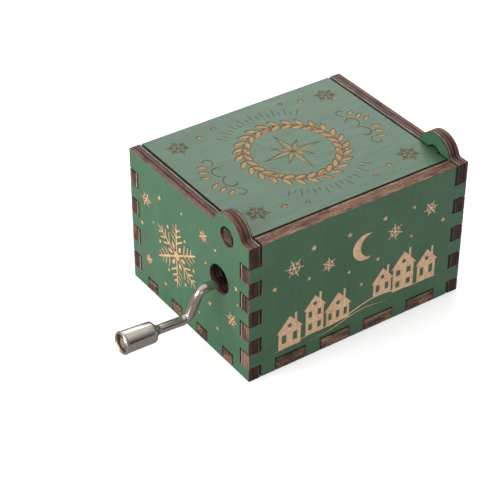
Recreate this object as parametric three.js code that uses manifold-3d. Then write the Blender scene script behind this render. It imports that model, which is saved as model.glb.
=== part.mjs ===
// Hand-cranked music box: a comb and a pinned cylinder in a laser-cut plywood case with a lid.
// Millimetres. X runs along the long side, away from the crank, Y from the picture side to the
// back, and Z up. The origin is the middle of the underside.

import * as THREE from 'three';
import { mergeVertices } from 'three/addons/utils/BufferGeometryUtils.js';
import Module from 'manifold-3d';

const wasm = await Module();
wasm.setup();

// Plywood case
const boxLength = 65;
const boxDepth = 52;
const boxHeight = 39;
const plyThickness = 3.3;
const jointSideGap = 0.25;
const jointDepthGap = 0.4;
const fingerCount = 4;
const fingerWidthShare = 0.108;
const fingerPitchShare = 0.216;
const fingerMiddleShare = 0.473;
const floorTabCount = 4;
const frontTabWidthShare = 0.132;
const frontTabPitchShare = 0.2066;
const sideTabWidthShare = 0.077;
const sideTabPitchShare = 0.217;

// Lid and its two pivots
const pivotFromFront = 9;
const pivotClearance = 0.27;
const earWall = 3.4;
const earFillet = 1;
const lidSideGap = 0.4;
const lidSwingGap = 0.25;
const lidSeatGap = 0.1;
const pivotTabRecess = 0.2;

// Worm and worm wheel
const toothModule = 0.6;
const wheelTeeth = 20;
const wheelWidth = 3;
const wheelSlices = 4;
const wormPitchRadius = 2.3;
const wormHalfLength = 4.2;
const flankSlope = Math.tan(THREE.MathUtils.degToRad(20));
const toothBacklash = 0.22;
const toothTipGap = 0.15;

// Pinned cylinder
const cylinderFromCrankWall = 12.2;
const cylinderAxisAboveFloor = 10.7;
const cylinderRadius = 6.5;
const sleeveWall = 0.9;
const sleeveMargin = 0.6;
const sleeveWormGap = 0.4;
const arborRadius = 1;
const hubGap = 0.15;
const hubDepth = 2.4;
const hubFlange = 0.6;
const hubNeckRadius = 4.8;
const pinHeight = 0.45;
const pinRadius = 0.22;
const pinsPerNote = 5;
const pinStations = 40;
const pinNoteStep = 7;
const pinBeatStep = 9;
const pinShuffle = 3;

// Comb: it has as many notes as fit between the worm and the room kept free behind the bedplate
const notePitch = 1.2;
const slotWidth = 0.26;
const combTipGap = 0.3;
const combFarWallGap = 10.7;
const combBaseLength = 9.5;
const combBaseThickness = 2;
const toothThickness = 0.8;
const toothBelowBaseTop = 0.2;
const toothAboveAxis = 1.2;
const trebleToothShare = 2 / 3;
const bassToothShare = 0.96;
const weightCount = 6;
const weightLength = 3.2;
const weightHeight = 1.7;
const weightSetback = 0.9;
const lightestWeightShare = 0.45;

// Bedplate
const bedTopAboveFloor = 4.5;
const bedThickness = 1.8;
const bedSkirt = 1.6;
const bedMargin = 1.5;
const bedCrankMargin = 1;
const bedBackWallGap = 2.8;
const bedEdge = 0.2;
const windowHalfWidth = 5;
const windowEndGap = 0.7;
const postRadius = 2.6;
const postInset = 0.4;

// Brackets that carry the worm and the cylinder
const bracketThickness = 2;
const bracketSideGap = 0.6;
const bracketEndGap = 0.2;
const bracketFoot = 3.8;
const bracketFootThickness = 1.6;
const bossLength = 0.6;
const bossRadius = 2.2;
const eyeRadius = 3.1;
const cheekSleeveGap = 0.6;
const rearBracketHalfWidth = 4.6;
const rearBracketCrown = 3;
const runningGap = 0.12;

// Worm shaft and crank
const crankFromFront = 12.4;
const crankHoleRadius = 3.9;
const crankHoleRise = 0.8;
const journalRadius = 1.5;
const shoulderRadius = 2.1;
const shaftWallGap = 0.5;
const shaftTail = 1.3;
const clipThickness = 0.4;
const clipRadius = 2.4;
const clipGrooveDepth = 0.35;
const clipGap = 0.1;
const clipMouthHalfAngle = THREE.MathUtils.degToRad(36);
const rodRadius = 1.2;
const rodTipRadius = 0.9;
const rodTipLength = 4.5;
const rodTipGap = 0.15;
const crankReach = 5.4;
const crankAdvance = 2.2;
const crankThrow = 8.9;
const crankBendRadius = 2.6;
const crankRestAngle = THREE.MathUtils.degToRad(12.1);
const knobTilt = THREE.MathUtils.degToRad(3.5);
const knobFromBend = 10.1;
const knobLength = 8.8;
const knobFrontRadius = 2.95;
const knobRearRadius = 2.7;
const knobBevel = 0.35;
const knobRecessRadius = 2.2;
const knobRecessDepth = 1.2;
const knobGap = 0.2;
const knobCollarRadius = 1.9;
const knobCollarLength = 0.6;
const washerRadius = 1.95;
const washerThickness = 0.4;
const washerGap = 0.2;
const peenRadius = 1.65;
const peenHeight = 0.5;

// Screws: head radius, head height, shank radius and the gap round the shank
const combScrew = { head: 2.2, height: 1.3, shank: 1.15, gap: 0.15, slot: 0.5, bite: 4.5 };
const bracketScrew = { head: 1.7, height: 1.1, shank: 0.9, gap: 0.15, slot: 0.45, bite: 1.7 };
const baseScrew = { head: 2.3, height: 1.3, shank: 1.2, gap: 0.15, slot: 0.55, bite: 3.2 };
const screwRimShare = 2 / 3;
const slotDepthShare = 1 / 2;
const combScrewPitch = 8;
const bracketScrewPitch = 12;
const rearScrewPitch = 6;
const baseScrewSink = 0.2;
const floorHoleGap = 0.3;
const screwTipGap = 0.5;

// Facets on round pieces, and the overrun of a cut past the face that it leaves
const fineSides = 40;
const plainSides = 28;
const smallSides = 16;
const arcSteps = 20;
const rodSides = 12;
const rodSteps = 46;
const pinSides = 4;
const cut = 0.5;

// Places that follow from the sizes above
const halfLength = boxLength / 2;
const halfDepth = boxDepth / 2;
const innerHalfLength = halfLength - plyThickness;
const innerHalfDepth = halfDepth - plyThickness;
const floorTop = plyThickness;
const lidUnderside = boxHeight - plyThickness;

const pivotY = -halfDepth + pivotFromFront;
const pivotZ = boxHeight - plyThickness / 2;
const pivotHoleRadius = Math.hypot(plyThickness, plyThickness) / 2 + pivotClearance;
const earRadius = pivotHoleRadius + earWall;
const lidSwingRadius = pivotFromFront - plyThickness - lidSwingGap;
const lidTail = Math.sqrt(lidSwingRadius ** 2 - (plyThickness / 2) ** 2);

const wheelPitchRadius = toothModule * wheelTeeth / 2;
const axialPitch = Math.PI * toothModule;
const toothHeight = toothModule;
const toothDepth = toothModule + toothTipGap;
const toothHalfAtPitch = axialPitch / 4 - toothBacklash / 2;
const toothHalfAtTip = toothHalfAtPitch - toothHeight * flankSlope;
const toothHalfAtRoot = toothHalfAtPitch + toothDepth * flankSlope;
const wheelTipRadius = wheelPitchRadius + toothHeight;
const wormTipRadius = wormPitchRadius + toothHeight;
const wormRootRadius = wormPitchRadius - toothDepth;

const cylinderX = -innerHalfLength + cylinderFromCrankWall;
const cylinderZ = floorTop + cylinderAxisAboveFloor;
const crankY = -halfDepth + crankFromFront;
const crankZ = cylinderZ + wheelPitchRadius + wormPitchRadius;
const wheelFront = crankY - wheelWidth / 2;
const wheelBack = crankY + wheelWidth / 2;
const sleeveFront = crankY + wormTipRadius + sleeveWormGap;
const behindNotes = sleeveMargin + hubFlange + bossLength + bracketEndGap + bracketThickness
  + bracketFoot + bedEdge + bedBackWallGap;
const noteRoom = innerHalfDepth - behindNotes - (sleeveFront + sleeveMargin);
const noteCount = Math.round(noteRoom / notePitch);
const combWidth = noteCount * notePitch;
const combScrewCount = Math.floor(combWidth / combScrewPitch) + 1;
const sleeveBack = sleeveFront + combWidth + sleeveMargin * 2;
const sleeveBore = cylinderRadius - sleeveWall;
const combFront = sleeveFront + sleeveMargin;
const combMiddle = combFront + combWidth / 2;
const combTip = cylinderX + cylinderRadius + pinHeight + combTipGap;
const combEnd = innerHalfLength - combFarWallGap;
const bladeLength = combEnd - combBaseLength - combTip;
const toothTop = cylinderZ + toothAboveAxis;
const toothBottom = toothTop - toothThickness;
const combTop = toothTop + toothBelowBaseTop;
const combBottom = combTop - combBaseThickness;

const wallBack = wheelFront - bossLength - bracketEndGap;
const wallFront = wallBack - bracketThickness;
const rearFront = sleeveBack + hubFlange + bossLength + bracketEndGap;
const rearBack = rearFront + bracketThickness;
const cheekOffset = wheelTipRadius + bracketSideGap;
const cheekOuter = cheekOffset + bracketThickness;

const bedTop = floorTop + bedTopAboveFloor;
const bedUnderside = bedTop - bedThickness;
const bedLeft = cylinderX - cheekOuter - bedCrankMargin;
const bedRight = combEnd + bedMargin;
const bedFront = wallFront - bracketFoot - bedEdge;
const bedBack = rearBack + bracketFoot + bedEdge;

const shaftStart = -innerHalfLength + shaftWallGap;
const shaftEnd = cylinderX + cheekOuter + shaftTail;
const bendX = -halfLength - crankReach;
const throwX = bendX - crankAdvance;
const knobFront = -knobFromBend - knobLength;
const recessFloor = knobFront + knobRecessDepth;
const washerSeat = recessFloor - knobGap;

// Finishes
function finish(color, roughness, metalness) {
  return new THREE.MeshStandardMaterial({ color, roughness, metalness });
}
const greenPly = finish(0x618a70, 0.7, 0);
const zinc = finish(0xb9b7ae, 0.45, 0.8);
const combSteel = finish(0x8f9397, 0.35, 0.9);
const lead = finish(0x6b6d70, 0.6, 0.6);
const brass = finish(0xc9a04e, 0.3, 0.9);
const nickel = finish(0xb5aca4, 0.25, 1);
const whiteNylon = finish(0xe6e3da, 0.5, 0);

// Solids and meshes
function solidOf(geometry) {
  const bare = geometry.index ? geometry.toNonIndexed() : geometry.clone();
  bare.deleteAttribute('normal');
  bare.deleteAttribute('uv');
  const merged = mergeVertices(bare);
  const corners = merged.index.array;
  const kept = [];
  for (let i = 0; i < corners.length; i += 3) {
    const [a, b, c] = [corners[i], corners[i + 1], corners[i + 2]];
    if (a !== b && b !== c && c !== a) kept.push(a, b, c);
  }
  return new wasm.Manifold(new wasm.Mesh({
    numProp: 3,
    vertProperties: new Float32Array(merged.attributes.position.array),
    triVerts: new Uint32Array(kept),
  }));
}

function named(name, solid, material) {
  const { vertProperties, triVerts } = solid.getMesh();
  const geometry = new THREE.BufferGeometry();
  geometry.setAttribute('position', new THREE.BufferAttribute(vertProperties, 3));
  geometry.setIndex(new THREE.BufferAttribute(triVerts, 1));
  geometry.computeVertexNormals();
  const mesh = new THREE.Mesh(geometry, material);
  mesh.name = name;
  return mesh;
}

function joined(solids) {
  return solids.reduce((whole, solid) => whole.add(solid));
}

function without(solid, cutters) {
  return cutters.reduce((rest, cutter) => rest.subtract(cutter), solid);
}

// A block between two opposite corners.
function block([x0, x1], [y0, y1], [z0, z1]) {
  const geometry = new THREE.BoxGeometry(x1 - x0, y1 - y0, z1 - z0);
  geometry.translate((x0 + x1) / 2, (y0 + y1) / 2, (z0 + z1) / 2);
  return solidOf(geometry);
}

const unitX = new THREE.Vector3(1, 0, 0);
const unitY = new THREE.Vector3(0, 1, 0);
const unitZ = new THREE.Vector3(0, 0, 1);
const downY = unitY.clone().negate();

// A flat outline drawn across an axis and given its thickness along it. Across X the outline is
// drawn in Y and Z, across Y in X and Z, and across Z in X and Y.
function slab(outline, axis, [from, to]) {
  const geometry = new THREE.ExtrudeGeometry(outline, {
    depth: to - from, bevelEnabled: false, curveSegments: arcSteps,
  });
  const place = new THREE.Matrix4();
  if (axis === 'x') place.makeBasis(unitY, unitZ, unitX).setPosition(from, 0, 0);
  if (axis === 'y') place.makeBasis(unitX, unitZ, downY).setPosition(0, to, 0);
  if (axis === 'z') place.setPosition(0, 0, from);
  geometry.applyMatrix4(place);
  return solidOf(geometry);
}

// A turned piece: pairs of radius and distance along the axis, from the low end to the high end.
function turnedGeometry(axis, profile, sides = plainSides) {
  const points = profile.map(([radius, along]) => new THREE.Vector2(radius, along));
  const geometry = new THREE.LatheGeometry(points, sides);
  if (axis === 'x') geometry.rotateZ(-Math.PI / 2);
  if (axis === 'z') geometry.rotateX(Math.PI / 2);
  return geometry;
}

function turned(axis, profile, centre, sides) {
  return solidOf(turnedGeometry(axis, profile, sides).translate(...centre));
}

function bar(axis, radius, [from, to], centre, sides = plainSides) {
  return turned(axis, [[0, from], [radius, from], [radius, to], [0, to]], centre, sides);
}

// Evenly spaced spans about a middle, such as the fingers of a joint.
function spans(count, pitch, width, middle) {
  return Array.from({ length: count }, (_, i) => {
    const centre = middle + (i - (count - 1) / 2) * pitch;
    return [centre - width / 2, centre + width / 2];
  });
}

function widened(list, gap) {
  return list.map(([from, to]) => [from - gap, to + gap]);
}

// What a row of spans leaves free between two ends.
function between(list, from, to) {
  const edges = [from, ...list.flat(), to];
  return Array.from({ length: list.length + 1 }, (_, i) => [edges[i * 2], edges[i * 2 + 1]]);
}

// Plywood panels. The front and back fingers pass through the side panels, and the floor's tabs
// pass through all four walls.
const fingers = spans(fingerCount, fingerPitchShare * boxHeight, fingerWidthShare * boxHeight,
  fingerMiddleShare * boxHeight);
const frontTabs = spans(floorTabCount, frontTabPitchShare * boxLength,
  frontTabWidthShare * boxLength, 0);
const sideTabs = spans(floorTabCount, sideTabPitchShare * boxDepth,
  sideTabWidthShare * boxDepth, 0);
const setback = plyThickness + jointDepthGap;

function longPanel(side, height) {
  const faces = side < 0 ? [-halfDepth, -innerHalfDepth] : [innerHalfDepth, halfDepth];
  const through = [faces[0] - cut, faces[1] + cut];
  const sideCuts = between(fingers, -cut, height + cut).flatMap((span) => [
    block([-halfLength - cut, -halfLength + setback], through, span),
    block([halfLength - setback, halfLength + cut], through, span),
  ]);
  const floorCuts = widened(frontTabs, jointSideGap).map((span) => (
    block(span, through, [-cut, setback])));
  return without(block([-halfLength, halfLength], faces, [0, height]),
    [...sideCuts, ...floorCuts]);
}

function earOutline() {
  const filletRise = boxHeight + earFillet - pivotZ;
  const filletRun = Math.sqrt((earRadius + earFillet) ** 2 - filletRise ** 2);
  const lean = Math.atan2(filletRise, filletRun);
  const right = pivotY + filletRun;
  const left = pivotY - filletRun;
  const ear = new THREE.Shape();
  ear.moveTo(right, pivotZ);
  ear.lineTo(right, boxHeight);
  ear.absarc(right, boxHeight + earFillet, earFillet, -Math.PI / 2, lean - Math.PI, true);
  ear.absarc(pivotY, pivotZ, earRadius, lean, Math.PI - lean, false);
  ear.absarc(left, boxHeight + earFillet, earFillet, -lean, -Math.PI / 2, true);
  ear.lineTo(left, pivotZ);
  ear.closePath();
  return ear;
}

function sidePanel(side) {
  const faces = side < 0 ? [-halfLength, -innerHalfLength] : [innerHalfLength, halfLength];
  const through = [faces[0] - cut, faces[1] + cut];
  const fingerCuts = widened(fingers, jointSideGap).flatMap((span) => [
    block(through, [-halfDepth - cut, -halfDepth + setback], span),
    block(through, [halfDepth - setback, halfDepth + cut], span),
  ]);
  const floorCuts = widened(sideTabs, jointSideGap).map((span) => (
    block(through, span, [-cut, setback])));
  const pivotHole = bar('x', pivotHoleRadius, through, [0, pivotY, pivotZ], fineSides);
  return without(
    block(faces, [-halfDepth, halfDepth], [0, boxHeight]).add(slab(earOutline(), 'x', faces)),
    [...fingerCuts, ...floorCuts, pivotHole]);
}

function crankHole() {
  return bar('x', crankHoleRadius, [-halfLength - cut, -innerHalfLength + cut],
    [0, crankY, crankZ + crankHoleRise], fineSides);
}

function floorPanel() {
  const through = [-cut, plyThickness + cut];
  const longCuts = between(frontTabs, -halfLength - cut, halfLength + cut).flatMap((span) => [
    block(span, [-halfDepth - cut, -halfDepth + setback], through),
    block(span, [halfDepth - setback, halfDepth + cut], through),
  ]);
  const shortCuts = between(sideTabs, -halfDepth - cut, halfDepth + cut).flatMap((span) => [
    block([-halfLength - cut, -halfLength + setback], span, through),
    block([halfLength - setback, halfLength + cut], span, through),
  ]);
  const screwHoles = basePosts().flatMap(([x, y]) => [
    bar('z', baseScrew.shank + floorHoleGap, through, [x, y, 0]),
    bar('z', baseScrew.head + floorHoleGap, [-cut, baseScrewSink + baseScrew.height], [x, y, 0]),
  ]);
  return without(
    block([-halfLength, halfLength], [-halfDepth, halfDepth], [0, plyThickness]),
    [...longCuts, ...shortCuts, ...screwHoles]);
}

// The lid's two square tabs turn in the round holes of the ears.
function lidPanel() {
  const thickness = [lidUnderside, boxHeight];
  const reach = halfLength - pivotTabRecess;
  const half = innerHalfLength - lidSideGap;
  const tabs = block([-reach, reach], [pivotY - plyThickness / 2, pivotY + plyThickness / 2],
    thickness);
  return block([-half, half], [pivotY - lidTail, halfDepth], thickness).add(tabs);
}

// Bedplate: a die-cast tray turned over, with a window under the cylinder, a raised land for the
// comb and three posts for the screws that come up through the floor.
function basePosts() {
  const reach = postRadius + postInset;
  return [
    [bedRight - reach, bedFront + reach],
    [bedRight - reach, bedBack - reach],
    [bedLeft + reach, bedBack - reach],
  ];
}

function bracketScrewPlaces() {
  const y = wallFront - bracketFoot / 2;
  return spans(2, bracketScrewPitch, 0, cylinderX).map(([x]) => [x, y]);
}

function rearScrewPlaces() {
  const y = rearBack + bracketFoot / 2;
  return spans(2, rearScrewPitch, 0, cylinderX).map(([x]) => [x, y]);
}

function combScrewPlaces() {
  const x = combEnd - combBaseLength / 2;
  return spans(combScrewCount, combScrewPitch, 0, combMiddle).map(([y]) => [x, y]);
}

function screwHole(screw, [x, y], heights) {
  return bar('z', screw.shank + screw.gap, heights, [x, y, 0], smallSides);
}

function bedplate() {
  const tray = block([bedLeft, bedRight], [bedFront, bedBack], [floorTop, bedTop]);
  const hollow = block([bedLeft + bedSkirt, bedRight - bedSkirt],
    [bedFront + bedSkirt, bedBack - bedSkirt], [floorTop - cut, bedUnderside]);
  const window = block([cylinderX - windowHalfWidth, cylinderX + windowHalfWidth],
    [wheelFront - windowEndGap, sleeveBack + windowEndGap], [bedUnderside - cut, bedTop + cut]);
  const land = block([combEnd - combBaseLength, combEnd],
    [combFront, combFront + combWidth], [bedTop - bedThickness, combBottom]);
  const posts = basePosts().map(([x, y]) => (
    bar('z', postRadius, [floorTop, bedTop], [x, y, 0])));
  const holes = [
    ...basePosts().map((place) => (
      screwHole(baseScrew, place, [floorTop - cut, floorTop + baseScrew.bite + screwTipGap]))),
    ...[...bracketScrewPlaces(), ...rearScrewPlaces()].map((place) => (
      screwHole(bracketScrew, place, [bedUnderside - cut, bedTop + cut]))),
    ...combScrewPlaces().map((place) => (
      screwHole(combScrew, place, [combBottom - combScrew.bite - screwTipGap, combBottom + cut]))),
  ];
  return without(joined([tray.subtract(hollow).subtract(window), land, ...posts]), holes);
}

// Comb: a thick base with the screws, and thin teeth whose roots run on a slant, so that the
// bass teeth at the back are the longest.
function toothLength(note) {
  return bladeLength * THREE.MathUtils.lerp(trebleToothShare, bassToothShare, note / (noteCount - 1));
}

function comb() {
  const width = [combFront, combFront + combWidth];
  const base = block([combEnd - combBaseLength, combEnd], width, [combBottom, combTop]);
  const blade = block([combTip, combEnd - combBaseLength / 2], width, [toothBottom, toothTop]);
  const slots = Array.from({ length: noteCount - 1 }, (_, note) => {
    const middle = combFront + (note + 1) * notePitch;
    return block([combTip - cut, combTip + toothLength(note)],
      [middle - slotWidth / 2, middle + slotWidth / 2], [toothBottom - cut, toothTop + cut]);
  });
  const holes = combScrewPlaces().map((place) => (
    screwHole(combScrew, place, [combBottom - cut, combTop + cut])));
  return without(base.add(blade), [...slots, ...holes]);
}

// The longest teeth carry lead under their tips, less of it from one tooth to the next.
function bassWeight(step) {
  const note = noteCount - 1 - step;
  const share = 1 - (1 - lightestWeightShare) * step / (weightCount - 1);
  const middle = combFront + (note + 0.5) * notePitch;
  const half = (notePitch - slotWidth) / 2;
  const start = combTip + weightSetback;
  return block([start, start + weightLength * share], [middle - half, middle + half],
    [toothBottom - weightHeight * share, toothBottom]);
}

// A slotted screw with its head on a face at the given height. Up is 1 for a head on top.
function slottedScrew(screw, [x, y], seat, length, up) {
  const rim = screw.height * screwRimShare;
  const profile = [
    [0, -length], [screw.shank, -length], [screw.shank, 0], [screw.head, 0],
    [screw.head, rim], [screw.head - screw.height + rim, screw.height], [0, screw.height],
  ];
  const solid = turned('z', up > 0 ? profile : profile.map(([r, h]) => [r, -h]).reverse(),
    [x, y, seat], smallSides);
  const slotDepth = screw.height * slotDepthShare;
  const top = seat + up * (screw.height - slotDepth);
  const far = seat + up * (screw.height + cut);
  return solid.subtract(block([x - screw.head - cut, x + screw.head + cut],
    [y - screw.slot / 2, y + screw.slot / 2], [Math.min(top, far), Math.max(top, far)]));
}

// Front bracket: a wall with the cylinder's front bearing between two cheeks that carry the worm
// shaft, on a foot with two screws.
function wormBracket() {
  const across = [cylinderX - cheekOuter, cylinderX + cheekOuter];
  const cheekTop = crankZ + eyeRadius;
  const cheekBack = sleeveFront - cheekSleeveGap;
  const wall = block(across, [wallFront, wallBack], [bedTop, crankZ]);
  const foot = block(across, [wallFront - bracketFoot, wallBack],
    [bedTop, bedTop + bracketFootThickness]);
  const cheeks = [-1, 1].flatMap((side) => {
    const faces = [cylinderX + side * cheekOffset, cylinderX + side * cheekOuter];
    const span = [Math.min(...faces), Math.max(...faces)];
    return [
      block(span, [wallFront, cheekBack], [bedTop, crankZ]),
      bar('x', eyeRadius, span, [0, crankY, crankZ]),
    ];
  });
  const shaftBore = bar('x', journalRadius + runningGap, [across[0] - cut, across[1] + cut],
    [0, crankY, crankZ]);
  const arborBore = bar('y', arborRadius + runningGap, [wallFront - cut, wallBack + cut],
    [cylinderX, 0, cylinderZ]);
  const wormRoom = block([cylinderX - cheekOffset, cylinderX + cheekOffset],
    [wallFront - cut, wallBack + cut], [crankZ - shoulderRadius * 2, cheekTop]);
  const screwHoles = bracketScrewPlaces().map((place) => (
    screwHole(bracketScrew, place, [bedTop - cut, bedTop + bracketFootThickness + cut])));
  return without(joined([wall, foot, ...cheeks]), [shaftBore, arborBore, wormRoom, ...screwHoles]);
}

// Rear bracket: an upright with a round crown over the cylinder's back bearing, on a foot.
function rearBracket() {
  const across = [cylinderX - rearBracketHalfWidth, cylinderX + rearBracketHalfWidth];
  const thickness = [rearFront, rearBack];
  const upright = new THREE.Shape();
  upright.moveTo(across[0], bedTop);
  upright.lineTo(across[1], bedTop);
  upright.lineTo(cylinderX + rearBracketCrown, cylinderZ);
  upright.absarc(cylinderX, cylinderZ, rearBracketCrown, 0, Math.PI, false);
  upright.closePath();
  const foot = block(across, [rearFront, rearBack + bracketFoot],
    [bedTop, bedTop + bracketFootThickness]);
  const bore = bar('y', arborRadius + runningGap, [rearFront - cut, rearBack + cut],
    [cylinderX, 0, cylinderZ]);
  const screwHoles = rearScrewPlaces().map((place) => (
    screwHole(bracketScrew, place, [bedTop - cut, bedTop + bracketFootThickness + cut])));
  return without(slab(upright, 'y', thickness).add(foot), [bore, ...screwHoles]);
}

// Pinned cylinder. Each note has its own ring of pins, at stations that differ from note to note.
function pin(note, station) {
  const angle = station / pinStations * Math.PI * 2;
  const inner = sleeveBore + sleeveWall / 2;
  const height = cylinderRadius + pinHeight - inner;
  const geometry = new THREE.CylinderGeometry(pinRadius, pinRadius, height, pinSides);
  geometry.translate(0, inner + height / 2, 0);
  geometry.rotateX(Math.PI / 2);
  geometry.rotateY(angle);
  geometry.translate(cylinderX, combFront + (note + 0.5) * notePitch, cylinderZ);
  return solidOf(geometry);
}

function cylinderSleeve() {
  const tube = turned('y', [
    [sleeveBore, sleeveFront], [cylinderRadius, sleeveFront], [cylinderRadius, sleeveBack],
    [sleeveBore, sleeveBack], [sleeveBore, sleeveFront],
  ], [cylinderX, 0, cylinderZ], fineSides);
  const pins = Array.from({ length: noteCount * pinsPerNote }, (_, i) => {
    const note = i % noteCount;
    const beat = Math.floor(i / noteCount);
    const station = note * pinNoteStep + beat * pinBeatStep + (note * beat) % pinShuffle;
    return pin(note, station % pinStations);
  });
  return joined([tube, ...pins]);
}

function cylinderArbor() {
  return bar('y', arborRadius, [wallFront - bracketEndGap, rearBack + bracketEndGap],
    [cylinderX, 0, cylinderZ]);
}

function rearHub() {
  const bore = arborRadius + hubGap;
  const plug = sleeveBore - hubGap;
  return turned('y', [
    [bore, sleeveBack - hubDepth], [plug, sleeveBack - hubDepth], [plug, sleeveBack],
    [cylinderRadius, sleeveBack], [cylinderRadius, sleeveBack + hubFlange],
    [bossRadius, sleeveBack + hubFlange], [bossRadius, sleeveBack + hubFlange + bossLength],
    [bore, sleeveBack + hubFlange + bossLength], [bore, sleeveBack - hubDepth],
  ], [cylinderX, 0, cylinderZ]);
}

// Worm wheel: slanted teeth, a neck that passes under the worm, a plug that carries the sleeve and
// a boss towards the bearing. A gap between two teeth faces the worm.
function wormWheel() {
  const outline = new THREE.Shape();
  for (let tooth = 0; tooth < wheelTeeth; tooth++) {
    const centre = Math.PI / 2 + (tooth + 0.5) / wheelTeeth * Math.PI * 2;
    const rootRadius = wheelPitchRadius - toothDepth;
    const corners = [
      [rootRadius, -toothHalfAtRoot], [wheelTipRadius, -toothHalfAtTip],
      [wheelTipRadius, toothHalfAtTip], [rootRadius, toothHalfAtRoot],
    ];
    corners.forEach(([radius, half], i) => {
      const angle = centre + half / radius;
      const point = [Math.cos(angle) * radius, Math.sin(angle) * radius];
      if (tooth === 0 && i === 0) outline.moveTo(...point);
      else outline.lineTo(...point);
    });
  }
  outline.closePath();
  const geometry = new THREE.ExtrudeGeometry(outline, {
    depth: wheelWidth, bevelEnabled: false, steps: wheelSlices,
  });
  geometry.rotateX(Math.PI / 2);
  geometry.translate(0, wheelWidth / 2, 0);
  const slant = toothModule / (wormPitchRadius * 2) / wheelPitchRadius;
  const position = geometry.attributes.position;
  const point = new THREE.Vector3();
  for (let i = 0; i < position.count; i++) {
    point.fromBufferAttribute(position, i);
    point.applyAxisAngle(unitY, point.y * slant);
    position.setXYZ(i, point.x, point.y, point.z);
  }
  geometry.translate(cylinderX, crankY, cylinderZ);
  const centre = [cylinderX, 0, cylinderZ];
  const overlap = wheelWidth / 2;
  return joined([
    solidOf(geometry),
    bar('y', hubNeckRadius, [wheelBack - overlap, sleeveFront + overlap], centre),
    bar('y', sleeveBore - hubGap, [sleeveFront, sleeveFront + hubDepth], centre),
    bar('y', bossRadius, [wheelFront - bossLength, wheelFront + overlap], centre),
  ]).subtract(bar('y', arborRadius + hubGap,
    [wheelFront - bossLength - cut, sleeveFront + hubDepth + cut], centre));
}

// A right-hand thread about X as a closed skin. Its rows lie along the helix, and each turn
// meets the next one pitch on, so the flanks are true at every angle.
function threadSkin(turns) {
  const profile = [
    [0, wormTipRadius], [toothHalfAtTip, wormTipRadius], [toothHalfAtRoot, wormRootRadius],
    [axialPitch - toothHalfAtRoot, wormRootRadius], [axialPitch - toothHalfAtTip, wormTipRadius],
  ];
  const rows = profile.length * turns;
  const quarterBack = axialPitch / 4;
  const start = cylinderX - axialPitch * (turns + 1) / 2 + quarterBack;
  const corners = [];
  const place = (row, step) => {
    const shift = Math.floor(step / plainSides);
    const [along, radius] = profile[(row + shift * profile.length) % profile.length];
    const turn = Math.floor((row + shift * profile.length) / profile.length);
    const angle = (step % plainSides) / plainSides * Math.PI * 2;
    return [start + axialPitch * (turn + (step % plainSides) / plainSides) + along,
      crankY + Math.cos(angle) * radius, crankZ + Math.sin(angle) * radius];
  };
  const triangle = (a, b, c) => corners.push(...a, ...c, ...b);
  for (let row = 0; row < rows; row++) {
    for (let step = 0; step < plainSides; step++) {
      const [a, b] = [place(row, step), place(row + 1, step)];
      const [c, d] = [place(row, step + 1), place(row + 1, step + 1)];
      triangle(a, b, c);
      triangle(b, d, c);
    }
  }
  const lowEnd = [start - axialPitch, crankY, crankZ];
  const highEnd = [start + axialPitch * (turns + 2), crankY, crankZ];
  for (let step = 0; step < plainSides; step++) {
    triangle(lowEnd, place(0, step), place(0, step + 1));
    triangle(highEnd, place(rows, step + 1), place(rows, step));
  }
  for (let row = 0; row < profile.length; row++) {
    triangle(lowEnd, place(row + 1, 0), place(row, 0));
    triangle(highEnd, place(rows + row, 0), place(rows + row + 1, 0));
  }
  const geometry = new THREE.BufferGeometry();
  geometry.setAttribute('position', new THREE.Float32BufferAttribute(corners, 3));
  return geometry;
}

function wormShaft() {
  const centre = [0, crankY, crankZ];
  const left = cylinderX - wormHalfLength;
  const right = cylinderX + wormHalfLength;
  const cheek = cheekOffset - bracketEndGap;
  const turns = Math.ceil(wormHalfLength * 2 / axialPitch) + 2;
  const worm = solidOf(threadSkin(turns))
    .intersect(bar('x', wormTipRadius * 2, [left, right], centre));
  const clip = shaftClipSpan();
  const groove = turned('x', [
    [journalRadius - clipGrooveDepth, clip[0] - clipGap], [journalRadius + cut, clip[0] - clipGap],
    [journalRadius + cut, clip[1] + clipGap], [journalRadius - clipGrooveDepth, clip[1] + clipGap],
    [journalRadius - clipGrooveDepth, clip[0] - clipGap],
  ], centre);
  return without(joined([
    worm,
    bar('x', journalRadius, [shaftStart, shaftEnd], centre),
    bar('x', shoulderRadius, [cylinderX - cheek, left + axialPitch / 2], centre),
    bar('x', shoulderRadius, [right - axialPitch / 2, cylinderX + cheek], centre),
  ]), [
    bar('x', rodTipRadius + rodTipGap, [shaftStart - cut, shaftStart + rodTipLength + rodTipGap],
      centre, smallSides),
    groove,
  ]);
}

function shaftClipSpan() {
  const start = cylinderX + cheekOuter + bracketEndGap;
  return [start, start + clipThickness];
}

// The open ring that keeps the worm shaft in its bearings.
function shaftClip() {
  const bore = journalRadius - clipGrooveDepth + clipGap;
  const ring = new THREE.Shape();
  const [from, to] = [clipMouthHalfAngle, Math.PI * 2 - clipMouthHalfAngle];
  ring.absarc(crankY, crankZ, clipRadius, from, to, false);
  ring.absarc(crankY, crankZ, bore, to, from, true);
  ring.closePath();
  return slab(ring, 'x', shaftClipSpan());
}

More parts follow.
